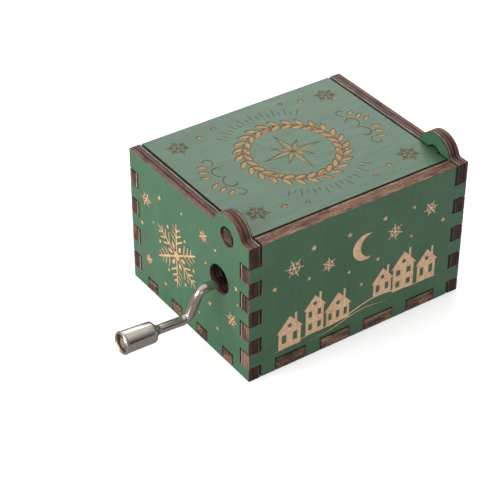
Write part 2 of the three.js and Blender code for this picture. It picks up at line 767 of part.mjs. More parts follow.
// The crank is drawn in its own frame: the shaft's axis is X and the arm hangs down. Its centre line
// goes out along the shaft, down the arm and out again to the knob, a little upward.
function crankPath() {
  const out = unitX.clone().negate();
  const toKnob = out.clone().applyAxisAngle(unitY, knobTilt);
  const bend = new THREE.Vector3(bendX, 0, 0);
  const elbow = new THREE.Vector3(throwX, 0, -crankThrow);
  const arm = elbow.clone().sub(bend).normalize();
  const bendTrim = crankBendRadius * Math.tan(out.angleTo(arm) / 2);
  const elbowTrim = crankBendRadius * Math.tan(arm.angleTo(toKnob) / 2);
  const bendStart = bend.clone().addScaledVector(out, -bendTrim);
  const bendEnd = bend.clone().addScaledVector(arm, bendTrim);
  const elbowStart = elbow.clone().addScaledVector(arm, -elbowTrim);
  const elbowEnd = elbow.clone().addScaledVector(toKnob, elbowTrim);
  const start = new THREE.Vector3(shaftStart, 0, 0);
  const end = elbow.clone().addScaledVector(toKnob, -washerSeat);
  const path = new THREE.CurvePath();
  path.add(new THREE.LineCurve3(start, bendStart));
  path.add(new THREE.QuadraticBezierCurve3(bendStart, bend, bendEnd));
  path.add(new THREE.LineCurve3(bendEnd, elbowStart));
  path.add(new THREE.QuadraticBezierCurve3(elbowStart, elbow, elbowEnd));
  path.add(new THREE.LineCurve3(elbowEnd, end));
  return path;
}

// What sits on the knob's axis is turned about X, with the elbow at 0, and then tilted with it.
function onKnobAxis(profile, sides) {
  const place = new THREE.Matrix4().makeRotationY(knobTilt).setPosition(throwX, 0, -crankThrow);
  return solidOf(turnedGeometry('x', profile, sides).applyMatrix4(place));
}

function crankRod() {
  const section = new THREE.Shape().absarc(0, 0, rodRadius, 0, Math.PI * 2, false);
  const outline = new THREE.Shape(section.getSpacedPoints(rodSides).slice(0, -1));
  const rod = new THREE.ExtrudeGeometry(outline, { steps: rodSteps, extrudePath: crankPath() });
  const collar = -knobFromBend + knobGap;
  const peenSeat = washerSeat - washerThickness - washerGap;
  return joined([
    solidOf(rod),
    bar('x', rodTipRadius, [shaftStart - rodRadius, shaftStart + rodTipLength], [0, 0, 0],
      smallSides),
    onKnobAxis([
      [0, collar], [knobCollarRadius, collar], [knobCollarRadius, collar + knobCollarLength],
      [0, collar + knobCollarLength],
    ], smallSides),
    onKnobAxis([
      [0, peenSeat - peenHeight], [peenRadius / 2, peenSeat - peenHeight],
      [peenRadius, peenSeat - peenHeight / 2], [peenRadius, peenSeat], [rodTipRadius, peenSeat],
      [rodTipRadius, recessFloor + rodRadius], [0, recessFloor + rodRadius],
    ], smallSides),
  ]);
}

function knobWasher() {
  const bore = rodTipRadius + rodTipGap;
  const face = washerSeat - washerGap / 2;
  return onKnobAxis([
    [bore, face - washerThickness], [washerRadius, face - washerThickness],
    [washerRadius, face], [bore, face], [bore, face - washerThickness],
  ], smallSides);
}

function crankKnob() {
  const bore = rodRadius + knobGap;
  return onKnobAxis([
    [bore, recessFloor], [knobRecessRadius, recessFloor], [knobRecessRadius, knobFront],
    [knobFrontRadius - knobBevel, knobFront], [knobFrontRadius, knobFront + knobBevel],
    [knobRearRadius, -knobFromBend - knobBevel], [knobRearRadius - knobBevel, -knobFromBend],
    [bore, -knobFromBend], [bore, recessFloor],
  ], plainSides);
}

// Assembly
function numbered(count, name, make, material) {
  return Array.from({ length: count }, (_, i) => named(`${name}_${i + 1}`, make(i), material));
}

function screws(name, screw, places, seat, length, up) {
  return numbered(places.length, name,
    (i) => slottedScrew(screw, places[i], seat, length, up), nickel);
}

const footTop = bedTop + bracketFootThickness;
const baseScrewSeat = baseScrewSink + baseScrew.height;

const woodenCase = new THREE.Group().add(
  named('floor_panel', floorPanel(), greenPly),
  named('front_panel', longPanel(-1, boxHeight), greenPly),
  named('back_panel', longPanel(1, lidUnderside - lidSeatGap), greenPly),
  named('crank_side_panel', sidePanel(-1).subtract(crankHole()), greenPly),
  named('far_side_panel', sidePanel(1), greenPly),
);

const movement = new THREE.Group().add(
  named('bedplate', bedplate(), zinc),
  named('worm_bracket', wormBracket(), zinc),
  named('rear_bracket', rearBracket(), zinc),
  named('comb', comb(), combSteel),
  ...numbered(weightCount, 'bass_weight', bassWeight, lead),
  ...screws('comb_screw', combScrew, combScrewPlaces(), combTop,
    combBaseThickness + combScrew.bite, 1),
  ...screws('front_bracket_screw', bracketScrew, bracketScrewPlaces(), footTop,
    bracketFootThickness + bracketScrew.bite, 1),
  ...screws('rear_bracket_screw', bracketScrew, rearScrewPlaces(), footTop,
    bracketFootThickness + bracketScrew.bite, 1),
  ...screws('base_screw', baseScrew, basePosts(), baseScrewSeat,
    plyThickness - baseScrewSeat + baseScrew.bite, -1),
);

const cylinder = new THREE.Group().add(
  named('cylinder_sleeve', cylinderSleeve(), brass),
  named('cylinder_arbor', cylinderArbor(), nickel),
  named('rear_hub', rearHub(), brass),
  named('worm_wheel', wormWheel(), whiteNylon),
);

const worm = new THREE.Group().add(
  named('worm_shaft', wormShaft(), nickel),
  named('shaft_clip', shaftClip(), nickel),
);

const crank = new THREE.Group().add(
  named('crank_rod', crankRod(), nickel),
  named('knob_washer', knobWasher(), brass),
  named('crank_knob', crankKnob(), nickel),
);
crank.position.set(0, crankY, crankZ);
crank.rotation.x = crankRestAngle;

export default new THREE.Group().add(
  woodenCase,
  named('lid_panel', lidPanel(), greenPly),
  movement,
  cylinder,
  worm,
  crank,
);
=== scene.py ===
"""A hand-cranked music box in a stained plywood case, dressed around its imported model.

The model's own frame: X runs away from the crank, Y to the back and Z up. Places are in metres.
Flat ornament and turned sections are drawn in millimetres. Ornament runs to the right and up as
its face is seen from outside.
"""
import math

import bmesh
import bpy
from mathutils import Matrix, Vector
from mathutils.geometry import delaunay_2d_cdt


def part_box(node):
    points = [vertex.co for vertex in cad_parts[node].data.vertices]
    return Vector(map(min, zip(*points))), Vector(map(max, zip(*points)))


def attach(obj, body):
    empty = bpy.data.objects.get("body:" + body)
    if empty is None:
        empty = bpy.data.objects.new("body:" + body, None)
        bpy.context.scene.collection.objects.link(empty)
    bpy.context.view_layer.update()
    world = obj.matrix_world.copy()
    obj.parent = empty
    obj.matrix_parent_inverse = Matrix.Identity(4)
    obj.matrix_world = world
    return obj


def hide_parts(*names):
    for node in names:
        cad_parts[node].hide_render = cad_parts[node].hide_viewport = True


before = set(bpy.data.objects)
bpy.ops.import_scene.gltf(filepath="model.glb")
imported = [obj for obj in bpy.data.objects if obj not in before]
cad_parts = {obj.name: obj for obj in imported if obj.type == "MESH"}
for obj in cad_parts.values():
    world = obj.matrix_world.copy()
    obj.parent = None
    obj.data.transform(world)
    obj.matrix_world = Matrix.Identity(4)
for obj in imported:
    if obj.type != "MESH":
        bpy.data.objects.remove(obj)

MM = 0.001
X_AXIS, Y_AXIS = Vector((1, 0, 0)), Vector((0, 1, 0))
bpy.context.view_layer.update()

# Camera, at the photograph's viewing angle
CAMERA_PLACE = Vector((-205.12, -274.73, 259.25)) * MM
CAMERA_AZIMUTH = math.radians(-34.80)
CAMERA_ELEVATION = math.radians(36.02)
CAMERA_ROLL = math.radians(0.172)
CAMERA_LENS = 119.53
CAMERA_SENSOR = 36.0
CAMERA_NEAR = 0.01


def link_object(made):
    bpy.context.scene.collection.objects.link(made)
    return made


def add_camera():
    flat = math.cos(CAMERA_ELEVATION)
    back = Vector((math.sin(CAMERA_AZIMUTH) * flat, -math.cos(CAMERA_AZIMUTH) * flat,
                   math.sin(CAMERA_ELEVATION)))
    level = Vector((math.cos(CAMERA_AZIMUTH), math.sin(CAMERA_AZIMUTH), 0))
    raised = back.cross(level)
    right = level * math.cos(CAMERA_ROLL) + raised * math.sin(CAMERA_ROLL)
    up = raised * math.cos(CAMERA_ROLL) - level * math.sin(CAMERA_ROLL)
    lens = bpy.data.cameras.new("camera")
    lens.sensor_width = CAMERA_SENSOR
    lens.lens = CAMERA_LENS
    lens.clip_start = CAMERA_NEAR
    camera = link_object(bpy.data.objects.new("camera", lens))
    turn = Matrix((right, up, back)).transposed().to_4x4()
    camera.matrix_world = Matrix.Translation(CAMERA_PLACE) @ turn
    bpy.context.scene.camera = camera


add_camera()

# Plywood: the board's thickness in metres, and what the laser does to it in millimetres
PLY_THICKNESS = 3.3 * MM
ARRIS = 0.08
SCORCH_WIDTH = 0.4
FILL_DEPTH = 0.07
LINE_DEPTH = 0.1
STROKE = 0.4
OUTLINE = 0.28
SCREW_SINK = 1.5

# Crank: its points are drawn with the arm hanging down and then turned to its rest angle
SHAFT_AXIS = Vector((0, -13.6, 22.3)) * MM
CRANK_REST_ANGLE = math.radians(12.1)
CRANK_BEND = Vector((-37.9, 0, 0)) * MM
CRANK_ELBOW = Vector((-40.1, 0, -8.9)) * MM
CRANK_BEND_RADIUS = 2.6 * MM
CRANK_BEND_STEPS = 18
KNOB_TILT = math.radians(3.5)
ROD_RADIUS = 1.2 * MM
ROD_BEYOND_ELBOW = 17.5 * MM
SHAFT_START = -28.7 * MM

# Cylinder and worm, in millimetres but for the axis
CYLINDER_AXIS = Vector((-17.0, 0, 14.0)) * MM
SLEEVE_FRONT, SLEEVE_BACK = -10.3, 12.5
SLEEVE_RADIUS, SLEEVE_WALL = 6.5, 0.9
HUB_BORE, HUB_PLUG_DEPTH = 1.15, 2.4
NOTE_PITCH = 1.2
FIRST_NOTE = -9.1
NOTES = 18
PINS_PER_NOTE = 5
PIN_STATIONS = 40
PIN_NOTE_STEP, PIN_BEAT_STEP, PIN_SHUFFLE = 7, 9, 3
PIN_ROOT, PIN_HEIGHT = 0.4, 0.85
WHEEL_TEETH = 20
TOOTH_MODULE = 0.6
TOOTH_PLAY = 0.11
FLANK_SLOPE = math.tan(math.radians(20))
TOOTH_ROOT, WHEEL_PITCH_RADIUS, TOOTH_TIP = 5.25, 6.0, 6.6
WHEEL_FRONT, WHEEL_BACK = -15.1, -12.1
WORM_PITCH_RADIUS, WORM_TIP, WORM_ROOT = 2.3, 2.9, 1.55
WORM_HALF_LENGTH = 4.2


# Node trees
EVENLY = (1.0, 1.0, 1.0)


class Value:
    """A node's output. Each sign between two values adds the math node that works it out."""

    def __init__(self, tree, socket):
        self.tree, self.socket = tree, socket

    def __add__(self, other):
        return self.tree.maths("ADD", self, other)

    def __sub__(self, other):
        return self.tree.maths("SUBTRACT", self, other)

    def __rsub__(self, other):
        return self.tree.maths("SUBTRACT", other, self)

    def __mul__(self, other):
        return self.tree.maths("MULTIPLY", self, other)

    def __truediv__(self, other):
        return self.tree.maths("DIVIDE", self, other)


class Tree:
    """A node tree that is being built. Most of its methods add a node and give its value."""

    def __init__(self, made):
        self.made = made

    def feed(self, socket, value):
        """Links a socket to a value, or sets it to what is plain."""
        if isinstance(value, Value):
            self.made.links.new(value.socket, socket)
        else:
            socket.default_value = value

    def add(self, kind, inputs=None, **settings):
        """A new node, with its inputs by name or number."""
        made = self.made.nodes.new(kind)
        for key, setting in settings.items():
            setattr(made, key, setting)
        for key, value in (inputs or {}).items():
            self.feed(made.inputs[key], value)
        return made

    def get(self, output, kind, inputs=None, **settings):
        """One output of a new node, by name or number."""
        return Value(self, self.add(kind, inputs, **settings).outputs[output])

    def values(self, made):
        return {socket.name: Value(self, socket) for socket in made.outputs}

    def use(self, group, **inputs):
        """A shader group placed with its own inputs. Gives all its outputs by name."""
        named = {key.replace("_", " ").title(): value for key, value in inputs.items()}
        return self.values(self.add("ShaderNodeGroup", named, node_tree=group))

    def give(self, kind="Float", **values):
        """Puts values out of a group under their names, and gives the finished group."""
        for label in values:
            self.made.interface.new_socket(
                label.title(), in_out="OUTPUT", socket_type=f"NodeSocket{kind}")
        self.add("NodeGroupOutput", {label.title(): value for label, value in values.items()})
        return self.made

    def maths(self, operation, a, b=0.0, clamp=False):
        return self.get(0, "ShaderNodeMath", {0: a, 1: b}, operation=operation, use_clamp=clamp)

    def mixed(self, share, a, b):
        """Colour a where the share is 0 and colour b where it is 1."""
        a, b = (colour if isinstance(colour, Value) else (*colour, 1) for colour in (a, b))
        return self.get(2, "ShaderNodeMix", {"Factor": share, 6: a, 7: b}, data_type="RGBA")

    def coated(self, body, *coats):
        """A colour with others laid over it, each with its share."""
        for share, colour in coats:
            body = self.mixed(share, body, colour)
        return body

    def ranged(self, value, low, high, to_low=0.0, to_high=1.0):
        """A value moved from one range to another, and held inside it."""
        return self.get("Result", "ShaderNodeMapRange", {
            "Value": value, "From Min": low, "From Max": high, "To Min": to_low, "To Max": to_high})

    def spread(self, noise, to_low=0.0, to_high=1.0):
        """A noise drawn out to a range. Most of its values lie between 0.3 and 0.7."""
        return self.ranged(noise, 0.3, 0.7, to_low, to_high)

    def noise(self, vector, scale, detail=2.0, roughness=0.5):
        return self.get("Fac", "ShaderNodeTexNoise", {
            "Vector": vector, "Scale": scale, "Detail": detail, "Roughness": roughness})

    def attribute(self, name, output="Fac"):
        return self.get(output, "ShaderNodeAttribute", attribute_name=name)

    def combined(self, **parts):
        return self.get(0, "ShaderNodeCombineXYZ", parts)

    def place(self):
        return self.get("Object", "ShaderNodeTexCoord")


def new_group(name, inputs, kind="ShaderNodeTree"):
    """An empty group with its named inputs. One without a value is named after its kind."""
    made = bpy.data.node_groups.new(name, kind)
    for label, value in inputs.items():
        socket_kind = {float: "Float", int: "Int", tuple: "Vector"}.get(type(value), label)
        socket = made.interface.new_socket(
            label, in_out="INPUT", socket_type=f"NodeSocket{socket_kind}")
        if value is not None:
            socket.default_value = value
    t = Tree(made)
    return t, t.values(t.add("NodeGroupInput"))


def drawn_group(name, along):
    """A group whose pattern is drawn out along one direction."""
    t, given = new_group(name, {"Vector": None, "Along": along, "Fineness": 1.0})
    drawn = t.get(0, "ShaderNodeVectorMath", {0: given["Vector"], 1: given["Along"]},
                  operation="MULTIPLY")
    return t, given["Vector"], drawn, given["Fineness"]


def grain_group():
    """Long fibres, open pores and the cloudy take-up of stain, all drawn along one direction."""
    t, place, drawn, fineness = drawn_group("wood_grain", (1.0, 1.0, 0.05))
    fibre = t.noise(drawn, fineness * 5200.0, 3.0, 0.6)
    broad = t.noise(drawn, fineness * 900.0, 2.0, 0.5)
    pore = t.noise(drawn, fineness * 3100.0, 1.0, 0.4)
    cloud = t.noise(place, fineness * 90.0, 3.0, 0.55)
    return t.give(fibre=fibre * 0.6 + broad * 0.4, pores=t.ranged(pore, 0.62, 0.74),
                  cloud=t.spread(cloud))


def wear_group():
    """Fine scratches and broad smudges on worked metal."""
    t, place, drawn, fineness = drawn_group("metal_wear", EVENLY)
    smudge = t.noise(place, fineness * 420.0, 3.0, 0.6)
    return t.give(scratches=t.noise(drawn, fineness * 6000.0, 2.0, 0.7), smudges=t.spread(smudge))


def scorch_group():
    """How far the laser's heat browned a face: strongest at the cut, uneven along it."""
    t, given = new_group("laser_scorch", {"Unevenness": 0.5, "Share": 0.8})
    reach = t.maths("POWER", t.attribute("scorch"), 1.6) * given["Share"]
    return t.give(burn=t.maths("MULTIPLY", reach, given["Unevenness"], clamp=True))


def char_group():
    """A laser-cut edge: its level in the plies, streaks, flecks of bared wood, ripple and soot, and
    the share of painted shade, which is 1 where a face doesn't face up.

    Its vector runs along the edge in X and into the board in Y, in metres.
    """
    t, given = new_group("laser_char", {"Vector": None, "Fleck Share": 0.4})

    def specks(along_edge, into_board, detail=1.0, roughness=0.5):
        spread = t.get("Vector", "ShaderNodeMapping", {
            "Vector": given["Vector"], "Scale": (along_edge, into_board, 1)})
        return t.noise(spread, 1.0, detail, roughness)

    deep = t.get("Y", "ShaderNodeSeparateXYZ", {"Vector": given["Vector"]})
    sway = (specks(260, 500, 2.0) - 0.5) * (0.4 * MM)
    bar = 0.72 - given["Fleck Share"] * (specks(160, 520) * 0.64)
    return t.give(
        level=(deep + sway) / PLY_THICKNESS,
        streaks=specks(450, 4000, 5.0, 0.75),
        flecks=t.maths("DIVIDE", specks(1100, 5600, 4.0, 0.7) - bar, 0.11, clamp=True),
        ripple=specks(6000, 700, 2.0, 0.6),
        soot=specks(230, 900, 3.0, 0.6),
        bared=t.ranged(specks(75, 220), 0.5, 0.64),
        # painted shade share: 1 on upright edge faces, 0 on those that face up
        sideways=t.ranged(t.attribute("topside"), 0.0, 0.8, 1.0, 0.0))


def passes_group():
    """The fine parallel passes of an engraving beam over the grain."""
    t, given = new_group("laser_passes", {"Vector": None, "Pitch": 5200.0, "Fibre": 0.5})
    passes = t.get("Fac", "ShaderNodeTexWave", {
        "Vector": given["Vector"], "Scale": given["Pitch"], "Distortion": 0.6, "Detail": 1.0,
        "Detail Scale": 2.0}, wave_type="BANDS", bands_direction="DIAGONAL")
    blotch = t.noise(given["Vector"], 1300.0, 2.0, 0.6)
    shade = t.maths("ADD", t.ranged(given["Fibre"], 0.38, 0.62, 0.0, 0.6),
                    t.ranged(blotch, 0.42, 0.62, 0.0, 0.45), clamp=True)
    return t.give(passes=passes, shade=shade, height=passes + given["Fibre"])


def casting_group():
    """The sandy skin that a mould leaves."""
    t, given = new_group("cast_skin", {"Vector": None, "Fineness": 1.0})
    return t.give(skin=t.noise(given["Vector"], given["Fineness"] * 5200.0, 3.0, 0.7))


GRAIN = grain_group()
WEAR = wear_group()
SCORCH = scorch_group()
CHAR = char_group()
PASSES = passes_group()
CASTING = casting_group()


# Materials
PALE_FLECK = (0.34, 0.195, 0.125)


def new_material(name, look):
    """A material with its tree and its shader, and the colour that a plain viewport shows."""
    made = bpy.data.materials.new(name)
    made.use_nodes = True
    made.diffuse_color = (*look, 1)
    shader = next(n for n in made.node_tree.nodes if n.type == "BSDF_PRINCIPLED")
    return made, Tree(made.node_tree), shader


def set_look(t, shader, colour, rough, height, depth, strength):
    """The colour, roughness and relief of a shader. The relief's depth is in millimetres."""
    t.feed(shader.inputs["Base Color"], colour)
    t.feed(shader.inputs["Roughness"], rough)
    t.feed(shader.inputs["Normal"], t.get("Normal", "ShaderNodeBump", {
        "Height": height, "Distance": depth * MM, "Strength": strength}))


def stained_ply(name, along):
    """Green stain over birch: fibres and pores along the grain, browned close to a laser cut."""
    made, t, shader = new_material(name, (0.1, 0.2, 0.13))
    grain = t.use(GRAIN, vector=t.place(), along=along)
    fibre, pores = grain["Fibre"], grain["Pores"]
    scorch = t.use(SCORCH, unevenness=t.spread(fibre, 0.6, 1.1), share=0.8)
    body = t.coated((0.034, 0.1, 0.049), (grain["Cloud"], (0.046, 0.122, 0.061)),
                    (t.ranged(fibre, 0.35, 0.65, 0.0, 0.25), (0.028, 0.086, 0.042)),
                    (pores * 0.2, (0.016, 0.045, 0.024)), (scorch["Burn"], (0.02, 0.019, 0.013)))
    set_look(t, shader, body, t.spread(fibre, 0.4, 0.54), fibre - pores * 0.5, 0.02, 0.35)
    return made


def cut_edge(name, stops, streak, soot, flecks, bared, fleck_colour=PALE_FLECK, sideways=0.0):
    """A laser-cut plywood edge: plies between dark glue lines, what the beam leaves, and painted
    shade on faces that don't face up.
    """
    made, t, shader = new_material(name, (0.1, 0.05, 0.03))
    shader.inputs["Specular IOR Level"].default_value = 0.2
    char = t.use(CHAR, vector=t.get("UV", "ShaderNodeUVMap", uv_map="cut"), fleck_share=flecks)
    ramp = t.add("ShaderNodeValToRGB", {"Fac": char["Level"]})
    elements = ramp.color_ramp.elements
    while len(elements) < len(stops):
        elements.new(0.5)
    for element, (position, colour) in zip(elements, stops):
        element.position = position
        element.color = (*colour, 1)
    body = t.coated(Value(t, ramp.outputs["Color"]),
                    (t.ranged(char["Streaks"], 0.42, 0.62, 0.0, streak), (0.03, 0.015, 0.013)),
                    (char["Bared"] * bared, fleck_colour), (char["Flecks"] * 0.55, fleck_colour),
                    (t.ranged(char["Ripple"], 0.5, 0.75, 0.0, 0.4), (0.025, 0.013, 0.011)),
                    (t.ranged(char["Soot"], 0.5, 0.7, 0.0, soot), (0.018, 0.01, 0.009)),
                    # painted shade: a darker colour laid on edge faces that don't face up
                    (char["Sideways"] * sideways, (0.014, 0.007, 0.007)))
    relief = char["Streaks"] * 0.6 + char["Ripple"]
    set_look(t, shader, body, t.spread(char["Soot"], 0.5, 0.75), relief, 0.05, 0.6)
    return made


def engraved(name, pale, deep, raster=5200.0):
    """Wood bared by the laser: the beam's fine passes over the grain."""
    made, t, shader = new_material(name, pale)
    place = t.place()
    fibre = t.use(GRAIN, vector=place, along=(1.0, 1.0, 0.2), fineness=1.3)["Fibre"]
    burnt = t.use(PASSES, vector=place, pitch=raster, fibre=fibre)
    body = t.coated(pale, (burnt["Shade"], deep), (burnt["Passes"] * 0.3, deep))
    set_look(t, shader, body, t.spread(fibre, 0.6, 0.8), burnt["Height"], 0.03, 0.5)
    return made


def metal(name, colour, tarnish, rough, along=EVENLY, fineness=1.0, relief=0.25, worked=False):
    """Tool marks, smudges and a touch of tarnish. A worked piece's own chart turns them."""
    made, t, shader = new_material(name, colour)
    shader.inputs["Metallic"].default_value = 1.0
    chart = t.attribute("turning", "Vector") if worked else t.place()
    wear = t.use(WEAR, vector=chart, along=along, fineness=fineness)
    smudges, scratches = wear["Smudges"], wear["Scratches"]
    shine = t.ranged(smudges, 0.0, 1.0, *rough) + t.ranged(scratches, 0.4, 0.7, 0.0, 0.04)
    set_look(t, shader, t.mixed(smudges * 0.6, colour, tarnish), shine, scratches, 0.004, relief)
    return made


def cast_metal(name, colour, tarnish, rough):
    """Cast metal with the sandy skin of its mould."""
    made, t, shader = new_material(name, colour)
    shader.inputs["Metallic"].default_value = 0.85
    place = t.place()
    smudges = t.use(WEAR, vector=place, fineness=0.7)["Smudges"]
    skin = t.use(CASTING, vector=place)["Skin"]
    set_look(t, shader, t.mixed(smudges, colour, tarnish), t.spread(skin, *rough), skin, 0.03, 0.5)
    return made


def moulded(name, colour, shade):
    """Moulded nylon: a faint mottle and a soft, slightly waxy skin."""
    made, t, shader = new_material(name, colour)
    shader.inputs["Subsurface Weight"].default_value = 0.15
    shader.inputs["Subsurface Scale"].default_value = 0.5 * MM
    place = t.place()
    mottle, skin = t.noise(place, 700.0, 3.0), t.noise(place, 4000.0, 2.0)
    set_look(t, shader, t.mixed(t.ranged(mottle, 0.35, 0.65), colour, shade),
             t.spread(skin, 0.35, 0.5), skin, 0.01, 0.3)
    return made


UPRIGHT = (1.0, 1.0, 0.045)
FLAT = (0.045, 1.0, 1.0)
LATHE_MARKS = (1.0, 0.05, 0.05)
DRAW_MARKS = GROUND_MARKS = (0.04, 1.0, 1.0)

# Colours through a board from its outer face, each with its share of the thickness
DARK_PLIES = [
    (0.0, (0.2, 0.16, 0.125)), (0.03, (0.16, 0.12, 0.095)), (0.05, (0.05, 0.022, 0.018)),
    (0.12, (0.125, 0.045, 0.035)), (0.3, (0.095, 0.034, 0.027)), (0.36, (0.014, 0.007, 0.009)),
    (0.46, (0.018, 0.009, 0.011)), (0.52, (0.085, 0.038, 0.032)), (0.66, (0.06, 0.027, 0.023)),
    (0.74, (0.015, 0.008, 0.008)), (0.82, (0.05, 0.03, 0.025)), (0.86, (0.28, 0.235, 0.19)),
    (0.95, (0.3, 0.26, 0.21)), (0.975, (0.03, 0.02, 0.017)), (1.0, (0.08, 0.06, 0.05))]
# Side panels: a brighter copy of the dark plies, painted light for their edges that face up;
# painted shade darkens their other edges again
SIDE_PLIES = [
    (0.0, (0.26, 0.21, 0.17)), (0.03, (0.22, 0.16, 0.125)), (0.05, (0.1, 0.045, 0.036)),
    (0.12, (0.26, 0.105, 0.08)), (0.28, (0.21, 0.082, 0.063)), (0.35, (0.035, 0.016, 0.017)),
    (0.46, (0.04, 0.019, 0.02)), (0.53, (0.18, 0.084, 0.068)), (0.68, (0.135, 0.062, 0.05)),
    (0.74, (0.03, 0.015, 0.015)), (0.8, (0.1, 0.058, 0.047)), (0.84, (0.34, 0.29, 0.245)),
    (0.89, (0.36, 0.31, 0.255)), (0.915, (0.05, 0.03, 0.026)), (1.0, (0.09, 0.06, 0.05))]
# Front and back panels' top edges: a brighter, warmer copy of their cut edge, painted light for
# edges that face up; their other edges keep the darker plies
PAINTED_LIGHT_PLIES = [
    (0.0, (0.42, 0.34, 0.27)), (0.03, (0.36, 0.27, 0.2)), (0.05, (0.09, 0.042, 0.028)),
    (0.1, (0.28, 0.115, 0.073)), (0.3, (0.26, 0.1, 0.058)), (0.36, (0.06, 0.024, 0.017)),
    (0.43, (0.22, 0.094, 0.052)), (0.55, (0.26, 0.12, 0.066)), (0.62, (0.09, 0.036, 0.025)),
    (0.66, (0.045, 0.02, 0.016)), (0.72, (0.24, 0.122, 0.083)), (0.92, (0.26, 0.15, 0.105)),
    (0.955, (0.07, 0.036, 0.026)), (0.975, (0.38, 0.3, 0.24)), (1.0, (0.42, 0.36, 0.3))]
SOOT = (0.016, 0.01, 0.009)
STAIN_RUN = (0.024, 0.055, 0.034)
LID_PLIES = [(0.0, STAIN_RUN), (0.16, STAIN_RUN), (0.22, SOOT)] + DARK_PLIES[4:11] + [
    (0.86, (0.1, 0.075, 0.06)), (1.0, SOOT)]
FLOOR_PLIES = [
    (0.0, (0.09, 0.06, 0.05)), (0.05, (0.02, 0.011, 0.01)), (0.14, (0.07, 0.034, 0.025)),
    (0.3, (0.08, 0.038, 0.028)), (0.36, (0.014, 0.008, 0.007)), (0.44, (0.09, 0.046, 0.032)),
    (0.6, (0.08, 0.038, 0.028)), (0.68, (0.014, 0.008, 0.007)), (0.76, (0.09, 0.046, 0.034)),
    (0.92, (0.06, 0.031, 0.024)), (1.0, (0.014, 0.008, 0.007))]

stain_upright = stained_ply("green_stain_upright", UPRIGHT)
stain_flat = stained_ply("green_stain_flat", FLAT)
dark_edge = cut_edge("laser_cut_edge_dark", DARK_PLIES, 0.6, 0.5, 0.35, 0.45)
# side panels' edges: plies brightened as painted light, with painted shade on faces that don't face
# up
side_edge = cut_edge("laser_cut_edge_side", SIDE_PLIES, 0.6, 0.6, 0.35, 0.12, sideways=0.72)
painted_light_edge = cut_edge("laser_cut_edge_warm", PAINTED_LIGHT_PLIES, 0.95, 0.6, 0.6, 0.2, (0.54, 0.31, 0.17))
floor_edge = cut_edge("laser_cut_edge_floor", FLOOR_PLIES, 0.75, 0.6, 0.75, 0.1, (0.4, 0.25, 0.155))
lid_edge = cut_edge("laser_cut_edge_lid", LID_PLIES, 0.7, 0.6, 0.2, 0.1)
bare_wood = engraved("engraved_pale", (0.68, 0.46, 0.29), (0.46, 0.27, 0.145))
amber_wood = engraved("engraved_amber", (0.66, 0.41, 0.23), (0.4, 0.2, 0.085))
gold_wood = engraved("engraved_gold", (0.5, 0.33, 0.13), (0.3, 0.17, 0.06))
brown_line = engraved("engraved_line", (0.2, 0.11, 0.045), (0.1, 0.05, 0.02), 4000.0)
pale_line = engraved("engraved_thin_line", (0.74, 0.55, 0.38), (0.5, 0.32, 0.19))
burnt_wall = engraved("engraved_wall", (0.3, 0.17, 0.085), (0.15, 0.08, 0.04), 6000.0)
nickel = metal("nickel_plate", (0.47, 0.42, 0.39), (0.36, 0.31, 0.285), (0.1, 0.18),
               fineness=0.5, relief=0.12)
turned_nickel = metal("turned_nickel", (0.47, 0.42, 0.39), (0.37, 0.33, 0.3), (0.13, 0.22),
                      LATHE_MARKS, 1.2, 0.2, worked=True)
drawn_nickel = metal("drawn_nickel", (0.53, 0.47, 0.44), (0.38, 0.33, 0.31), (0.12, 0.22),
                     DRAW_MARKS, 0.7, 0.35, worked=True)
satin_nickel = metal("satin_nickel", (0.53, 0.475, 0.43), (0.45, 0.4, 0.36), (0.18, 0.24),
                     LATHE_MARKS, 1.5, 0.12, worked=True)
dull_brass = metal("dull_brass", (0.26, 0.21, 0.14), (0.17, 0.13, 0.08), (0.35, 0.5),
                   LATHE_MARKS, 1.4, 0.3, worked=True)
peened_brass = metal("peened_brass", (0.5, 0.46, 0.36), (0.34, 0.29, 0.2), (0.3, 0.42),
                     fineness=1.4, relief=0.4)
brass = metal("turned_brass", (0.72, 0.52, 0.22), (0.45, 0.3, 0.12), (0.2, 0.34),
              LATHE_MARKS, relief=0.3, worked=True)
comb_steel = metal("ground_spring_steel", (0.5, 0.5, 0.5), (0.36, 0.36, 0.37), (0.28, 0.38),
                   GROUND_MARKS, relief=0.12)
zinc = cast_metal("die_cast_zinc", (0.6, 0.59, 0.56), (0.42, 0.42, 0.41), (0.34, 0.5))
lead = cast_metal("dull_lead", (0.2, 0.205, 0.215), (0.12, 0.125, 0.135), (0.5, 0.7))
nylon = moulded("white_nylon", (0.75, 0.74, 0.7), (0.66, 0.65, 0.6))


# Meshes
MERGE_DISTANCE = 0.0002 * MM
SOLID_MERGE_DISTANCE = 0.0005 * MM
FLAT_ANGLE = math.radians(0.5)
SHARP_ANGLE = math.radians(32)
SMOOTH_ANGLE = math.radians(38)


def new_object(name, mesh):
    return link_object(bpy.data.objects.new(name, mesh))


def built(name, verts, faces, *finishes):
    """A piece from its points and faces."""
    mesh = bpy.data.meshes.new(name)
    mesh.from_pydata(verts, [], faces)
    for finish in finishes:
        mesh.materials.append(finish)
    return new_object(name, mesh)


def store(mesh, name, values, domain="POINT"):
    """Stores a number or a vector for each of a mesh's points or faces."""
    plain = isinstance(values[0], float)
    layer = mesh.attributes.new(name, "FLOAT" if plain else "FLOAT_VECTOR", domain)
    if plain:
        layer.data.foreach_set("value", values)
    else:
        layer.data.foreach_set("vector", [part for value in values for part in value])


def dressed(piece, body, slot, *nodes):
    """Puts a finished piece on its body and hides the solids it stands for. The finish it takes,
    slot, is not used.
    """
    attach(piece, body)
    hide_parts(*nodes)


def apply_modifiers(piece):
    shapes = bpy.context.evaluated_depsgraph_get()
    mesh = bpy.data.meshes.new_from_object(piece.evaluated_get(shapes))
    piece.modifiers.clear()
    piece.data = mesh


